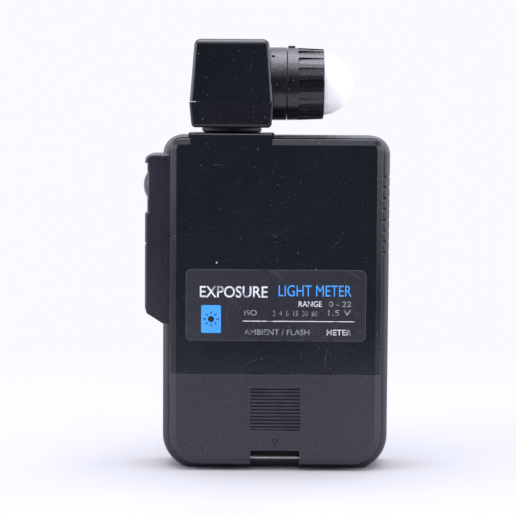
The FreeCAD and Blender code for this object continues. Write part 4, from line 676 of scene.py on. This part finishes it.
def display():
    """Figures on the panel, then the window's mask, its outline and the scale below it."""
    low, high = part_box("lcd_panel")
    y = high.y + 0.02 * MM
    middle = (low.z + high.z) / 2
    ink = print_material("lcd_ink", srgb(30, 34, 32), 0.02, 300)
    legend = print_material("panel_ink", srgb(214, 216, 222), 0.12, 420)

    def spot(x, z):
        """x to the right as the display's reader sees it, z up from its middle, in millimetres."""
        return on_front(-x * MM, middle + z * MM, y)

    figures = bmesh.new()
    digits(figures, "56", spot, -2.5, -5.0, 8.6, 6.2, 11.5, 1.35)
    slab(figures, rounded_loop(1.3 * MM, 1.3 * MM, 0.3 * MM, 2), spot(5.0, -4.4), FIGURE_THICK)
    digits(figures, "125", spot, -21.0, -1.0, 5.2, 3.8, 7.4, 0.85)
    digits(figures, "100", spot, -15.5, 8.3, 3.2, 2.2, 3.4, 0.42)
    digits(figures, "2", spot, 16.6, -5.0, 0, 3.6, 6.4, 0.75)
    for i in range(COUNT_TICKS):
        height = 1.7 if i % 2 == 0 else 1.1
        tick = rounded_loop(0.5 * MM, height * MM, 0.1 * MM, 1)
        slab(figures, tick, spot(-20.9 + 1.9 * i, -10.3), FIGURE_THICK)
    pointer = [Vector(p) * MM for p in ((-0.8, 1.3, 0), (0, 0, 0), (0.8, 1.3, 0))]
    slab(figures, pointer, spot(0.1, -8.7), FIGURE_THICK)
    piece("lcd_figures", to_mesh("lcd_figures", figures), ink, "case")
    words("lcd_iso", "ISO", spot(-21.5, 8.5), 4.6 * MM, 2.6 * MM, ink, "case", 0.02, thick=0.01)
    words("lcd_mode", "AMBI", spot(10.5, 8.5), 8.0 * MM, 2.4 * MM, ink, "case", thick=0.01)

    pane_low, pane_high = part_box("display_window")
    mask = bmesh.new()
    band(mask, rounded_loop(50.6 * MM, 27.6 * MM, 0.7 * MM), rounded_loop(47.6 * MM, 24.4 * MM, 1.2 * MM),
         on_front(0, middle, pane_low.y - 0.03 * MM), 0.02 * MM)
    piece("window_mask", to_mesh("window_mask", mask), MASK, "case")
    line = bmesh.new()
    band(line, rounded_loop(52.4 * MM, 29.2 * MM, 1.4 * MM), rounded_loop(51.9 * MM, 28.7 * MM, 1.3 * MM),
         on_front(0, middle, pane_high.y + 0.005 * MM), 0.015 * MM)
    piece("window_line", to_mesh("window_line", line), legend, "case")
    words("window_word_shutter", "T", on_front(21.5 * MM, middle + 14.6 * MM, pane_high.y), 1.2 * MM,
          1.1 * MM, legend, "case")
    scale = ("1", "1.4", "2", "2.8", "4", "5.6", "8", "11", "16", "22", "32", "45")
    for i, number in enumerate(scale):
        x = -20.9 + 3.8 * i
        width = 0.3 + 0.62 * len(number) - 0.35 * number.count("1") - 0.3 * number.count(".")
        words("scale_" + number.replace(".", "_"), number,
              on_front((width / 2 - x) * MM, middle - 15.6 * MM, pane_high.y),
              width * MM, 1.1 * MM, legend, "case")
    return legend


KEY_WORDS = {"mode_key": "MODE", "iso_key": "ISO", "memory_key": "M",
             "up_key": None, "down_key": None, "power_key": None}


def key_legends():
    dark = print_material("key_ink", srgb(28, 29, 33), 0.08, 420)
    pale = print_material("power_ink", srgb(236, 232, 226), 0.08, 420)
    for name, text in KEY_WORDS.items():
        low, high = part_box(name)
        x, z, y = (low.x + high.x) / 2, (low.z + high.z) / 2, high.y
        body = name.replace("_key", "_cap")
        if text:
            width = 1.45 * len(text) * MM + 0.3 * MM
            place = on_front(x + width / 2, z - 0.95 * MM, y)
            words(name + "_legend", text, place, width, 1.9 * MM, dark, body)
            continue
        mark = bmesh.new()
        place = on_front(x, z, y + 0.005 * MM)
        if name == "power_key":
            outer = rounded_loop(3.0 * MM, 3.0 * MM, 1.49 * MM, 8)
            inner = rounded_loop(2.2 * MM, 2.2 * MM, 1.09 * MM, 8)
            band(mark, outer, inner, place, 0.02 * MM)
            stem = place @ Matrix.Translation((0, 1.0 * MM, 0))
            slab(mark, rounded_loop(0.4 * MM, 1.7 * MM, 0.1 * MM, 1), stem, 0.03 * MM)
            piece(name + "_legend", to_mesh(name + "_legend", mark), pale, body)
            continue
        sign = 1 if name == "up_key" else -1
        corners = [(-1.5, -0.9 * sign, 0), (1.5, -0.9 * sign, 0), (0, 1.1 * sign, 0)]
        if sign < 0:
            corners.reverse()
        slab(mark, [Vector(c) * MM for c in corners], place, 0.02 * MM)
        piece(name + "_legend", to_mesh(name + "_legend", mark), dark, body)


def front_print(legend):
    for text, z, width in (("FLASH", 52.2, 6.0), ("AMBI", 32.9, 5.0)):
        words("front_word_" + text.lower(), text, on_front(27.7 * MM, (z + DATUM) * MM, FRONT),
              width * MM, 1.5 * MM, legend, "case", 0.01)


# ---------------------------------------------------------------- small hardware


def chip_legs():
    """Gull-wing legs along both long sides of the two chips."""
    tin = FINISH["spring_steel"]
    for name, count in (("processor_chip", 12), ("amplifier_chip", 7)):
        low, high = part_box(name)
        bm = bmesh.new()
        pitch = (high.z - low.z) * 0.86 / (count - 1)
        for side in (-1, 1):
            edge = high.x if side > 0 else low.x
            for i in range(count):
                z = (low.z + high.z) / 2 + (i - (count - 1) / 2) * pitch
                leg(bm, edge, side, z, high.y, pitch * 0.42)
        piece(name + "_legs", to_mesh(name + "_legs", bm), tin, "case")


def leg(bm, edge, side, z, board, width):
    """One leg: out of the chip's side, down to the board, then flat along it."""
    sheet = 0.12 * MM
    half = width / 2
    rows = []
    for out, up in ((0.0, 0.9), (0.5, 0.9), (0.75, 0.1), (1.3, 0.1)):
        x, y = edge + side * out * MM, board - up * MM
        corners = ((y, z - half), (y, z + half), (y - sheet, z + half), (y - sheet, z - half))
        rows.append([bm.verts.new((x, *corner)) for corner in corners])
    for one, other in zip(rows, rows[1:]):
        for i in range(4):
            j = (i + 1) % 4
            bm.faces.new((one[i], one[j], other[j], other[i]))
    bm.faces.new(rows[0])
    bm.faces.new(list(reversed(rows[-1])))


# ---------------------------------------------------------------- stage


BACKGROUND = srgb(249, 250, 253)
CLOTH = (srgb(172, 172, 177), srgb(177, 177, 181))
CLOTH_PROFILE = ((-1.4, 0.0), (0.78, 0.0), (0.93, 0.02), (1.02, 0.10), (1.06, 0.26), (1.08, 1.75))
CLOTH_ROWS = (-2.3, -0.77, 0.77, 2.3)
CLOTH_GAP = 0.2 * MM
BACK_GLOW = (0.02, 0.26)
FRONT_FADE = (-0.17, -0.25)
FAR_GLOW = (0.16, 0.42)


def floor_material():
    """White cloth: lit by the lamps near the meter, self-lit further back, dim in far reflections."""
    n = Nodes("floor_cloth")
    weave = n.noise(1300, 2, stretch=(1, 0.3, 1))
    broad = n.noise(7, 3)
    cloth = n.mix(n.ramp(broad, 0.3, 0.7), *CLOTH)
    split = n.add("ShaderNodeSeparateXYZ")
    n.link(n.place, split.inputs[0])
    back = n.ramp(split.outputs["Y"], *BACK_GLOW)
    back = n.math("MULTIPLY", back, back)
    front = n.ramp(split.outputs["Y"], *FRONT_FADE)
    ray = n.add("ShaderNodeLightPath")
    cloth = n.mix(n.math("MULTIPLY", ray.outputs["Is Glossy Ray"], front), cloth, srgb(60, 60, 66))
    reach = n.add("ShaderNodeVectorMath", operation="LENGTH")
    n.link(n.place, reach.inputs[0])
    far = n.ramp(reach.outputs["Value"], *FAR_GLOW)
    back = n.math("MAXIMUM", back, n.math("MULTIPLY", far, ray.outputs["Is Camera Ray"]))
    n.set("Base Color", n.mix(back, cloth, (0, 0, 0)))
    n.set("Emission Color", (*BACKGROUND, 1))
    n.set("Emission Strength", back)
    n.set("Roughness", 1.0)
    n.set("Specular IOR Level", 0.0)
    n.bump(weave, 0.3, 0.1 * MM)
    return n.material


def stage():
    """Cloth that curves up behind. It sinks with the battery door, so that the open door stays in sight."""
    bm = bmesh.new()
    rows = []
    for y, z in CLOTH_PROFILE:
        rows.append([bm.verts.new((x, y, z - CLOTH_GAP)) for x in CLOTH_ROWS])
    for one, other in zip(rows, rows[1:]):
        for i in range(3):
            bm.faces.new((one[i], one[i + 1], other[i + 1], other[i]))
    mesh = to_mesh("floor", bm)
    floor = bpy.data.objects.new("floor", mesh)
    bpy.context.scene.collection.objects.link(floor)
    mesh.materials.append(floor_material())
    for face in mesh.polygons:
        face.use_smooth = True
    curve = floor.modifiers.new("smooth", "SUBSURF")
    curve.levels = curve.render_levels = 3
    follow = floor.constraints.new("COPY_LOCATION")
    follow.target = NODES["battery_door"]
    follow.use_x = follow.use_y = False


def panel(name, place, aim, width, height, power):
    light = bpy.data.lights.new(name, "AREA")
    light.shape = "RECTANGLE"
    light.size, light.size_y = width, height
    light.energy = power
    obj = bpy.data.objects.new(name, light)
    bpy.context.scene.collection.objects.link(obj)
    obj.location = place
    obj.rotation_euler = (Vector(aim) - Vector(place)).to_track_quat("-Z", "Y").to_euler()
    return obj


ROOM = 0.05
LAMP = 1.8
LAMP_CORE = 5.0
TENT = 0.45
SIDE_BOX = 2.8
SIDE_STRIP = 1.5


def sky():
    """A lamp straight overhead, a dimmer diffuser sloping down towards the camera, a soft box on each
    side, and a dark room behind the camera. The camera itself sees plain pale paper."""
    world = bpy.data.worlds.new("studio")
    bpy.context.scene.world = world
    world.use_nodes = True
    tree = world.node_tree

    def ramp(value, low, high, start=0.0, end=1.0):
        node = tree.nodes.new("ShaderNodeMapRange")
        node.interpolation_type = "SMOOTHSTEP"
        tree.links.new(value, node.inputs["Value"])
        for key, number in (("From Min", low), ("From Max", high), ("To Min", start), ("To Max", end)):
            node.inputs[key].default_value = number
        return node.outputs[0]

    def combine(operation, a, b):
        node = tree.nodes.new("ShaderNodeMath")
        node.operation = operation
        for target, value in zip(node.inputs, (a, b)):
            if hasattr(value, "is_linked"):
                tree.links.new(value, target)
            else:
                target.default_value = value
        return node.outputs[0]

    coords = tree.nodes.new("ShaderNodeTexCoord")
    split = tree.nodes.new("ShaderNodeSeparateXYZ")
    tree.links.new(coords.outputs["Generated"], split.inputs[0])
    x, y, z = (split.outputs[axis] for axis in "XYZ")
    overhead = combine("ADD", ramp(z, 0.62, 0.80, 0.0, LAMP),
                       combine("MULTIPLY", ramp(z, 0.36, 0.58), ramp(y, 0.55, 0.3, 0.0, TENT)))
    overhead = combine("ADD", overhead, ramp(z, 0.90, 0.96, 0.0, LAMP_CORE))
    tall = combine("MULTIPLY", ramp(z, -0.2, -0.05), ramp(z, 0.7, 0.55))
    aside = combine("ABSOLUTE", x, 0.0)
    wide = combine("ADD", ramp(aside, 0.5, 0.7, 0.0, SIDE_BOX), ramp(aside, 0.90, 0.95, 0.0, SIDE_STRIP))
    boxes = combine("MULTIPLY", wide, tall)
    level = combine("ADD", combine("ADD", overhead, boxes), ROOM)

    lamps = tree.nodes["Background"]
    lamps.inputs["Color"].default_value = (0.93, 0.93, 1.0, 1)
    tree.links.new(level, lamps.inputs["Strength"])
    paper = tree.nodes.new("ShaderNodeBackground")
    paper.inputs["Color"].default_value = (*BACKGROUND, 1)
    choose = tree.nodes.new("ShaderNodeMixShader")
    path = tree.nodes.new("ShaderNodeLightPath")
    tree.links.new(path.outputs["Is Camera Ray"], choose.inputs[0])
    tree.links.new(lamps.outputs[0], choose.inputs[1])
    tree.links.new(paper.outputs[0], choose.inputs[2])
    tree.links.new(choose.outputs[0], tree.nodes["World Output"].inputs["Surface"])


def lights():
    sky()
    panel("key", (-0.40, -0.35, 0.60), (0, 0, 0.08), 0.14, 0.14, 0.4)


CAMERA_DISTANCE = 0.60
CAMERA_X = -0.0058
CAMERA_Z = 0.1189
VIEW_Z = 0.06955
VIEW_HEIGHT = 0.1641
CAMERA_ROLL = math.radians(0.38)


def camera():
    """A camera level with the head, tilted a little down towards the middle of the meter."""
    data = bpy.data.cameras.new("camera")
    obj = bpy.data.objects.new("camera", data)
    bpy.context.scene.collection.objects.link(obj)
    data.sensor_width = 36
    data.clip_start = 0.01
    obj.location = (CAMERA_X, REAR - CAMERA_DISTANCE, CAMERA_Z)
    gaze = Vector((CAMERA_X, REAR, VIEW_Z)) - obj.location
    data.lens = data.sensor_width * gaze.length / VIEW_HEIGHT
    aim = gaze.to_track_quat("-Z", "Y").to_matrix().to_4x4()
    obj.rotation_euler = (aim @ Matrix.Rotation(CAMERA_ROLL, 4, "Z")).to_euler()
    bpy.context.scene.camera = obj


# ---------------------------------------------------------------- build


DUST = print_material("dust", srgb(196, 197, 204), 0.1, 420)
MASK = moulded("window_mask", srgb(16, 17, 19), 0.45, 0.004)


def build():
    dress_cad_nodes()
    name_plate()
    cover_wear()
    door_dust()
    legend = display()
    key_legends()
    front_print(legend)
    chip_legs()
    stage()
    lights()
    camera()
    bpy.context.scene.view_settings.view_transform = "Standard"


build()
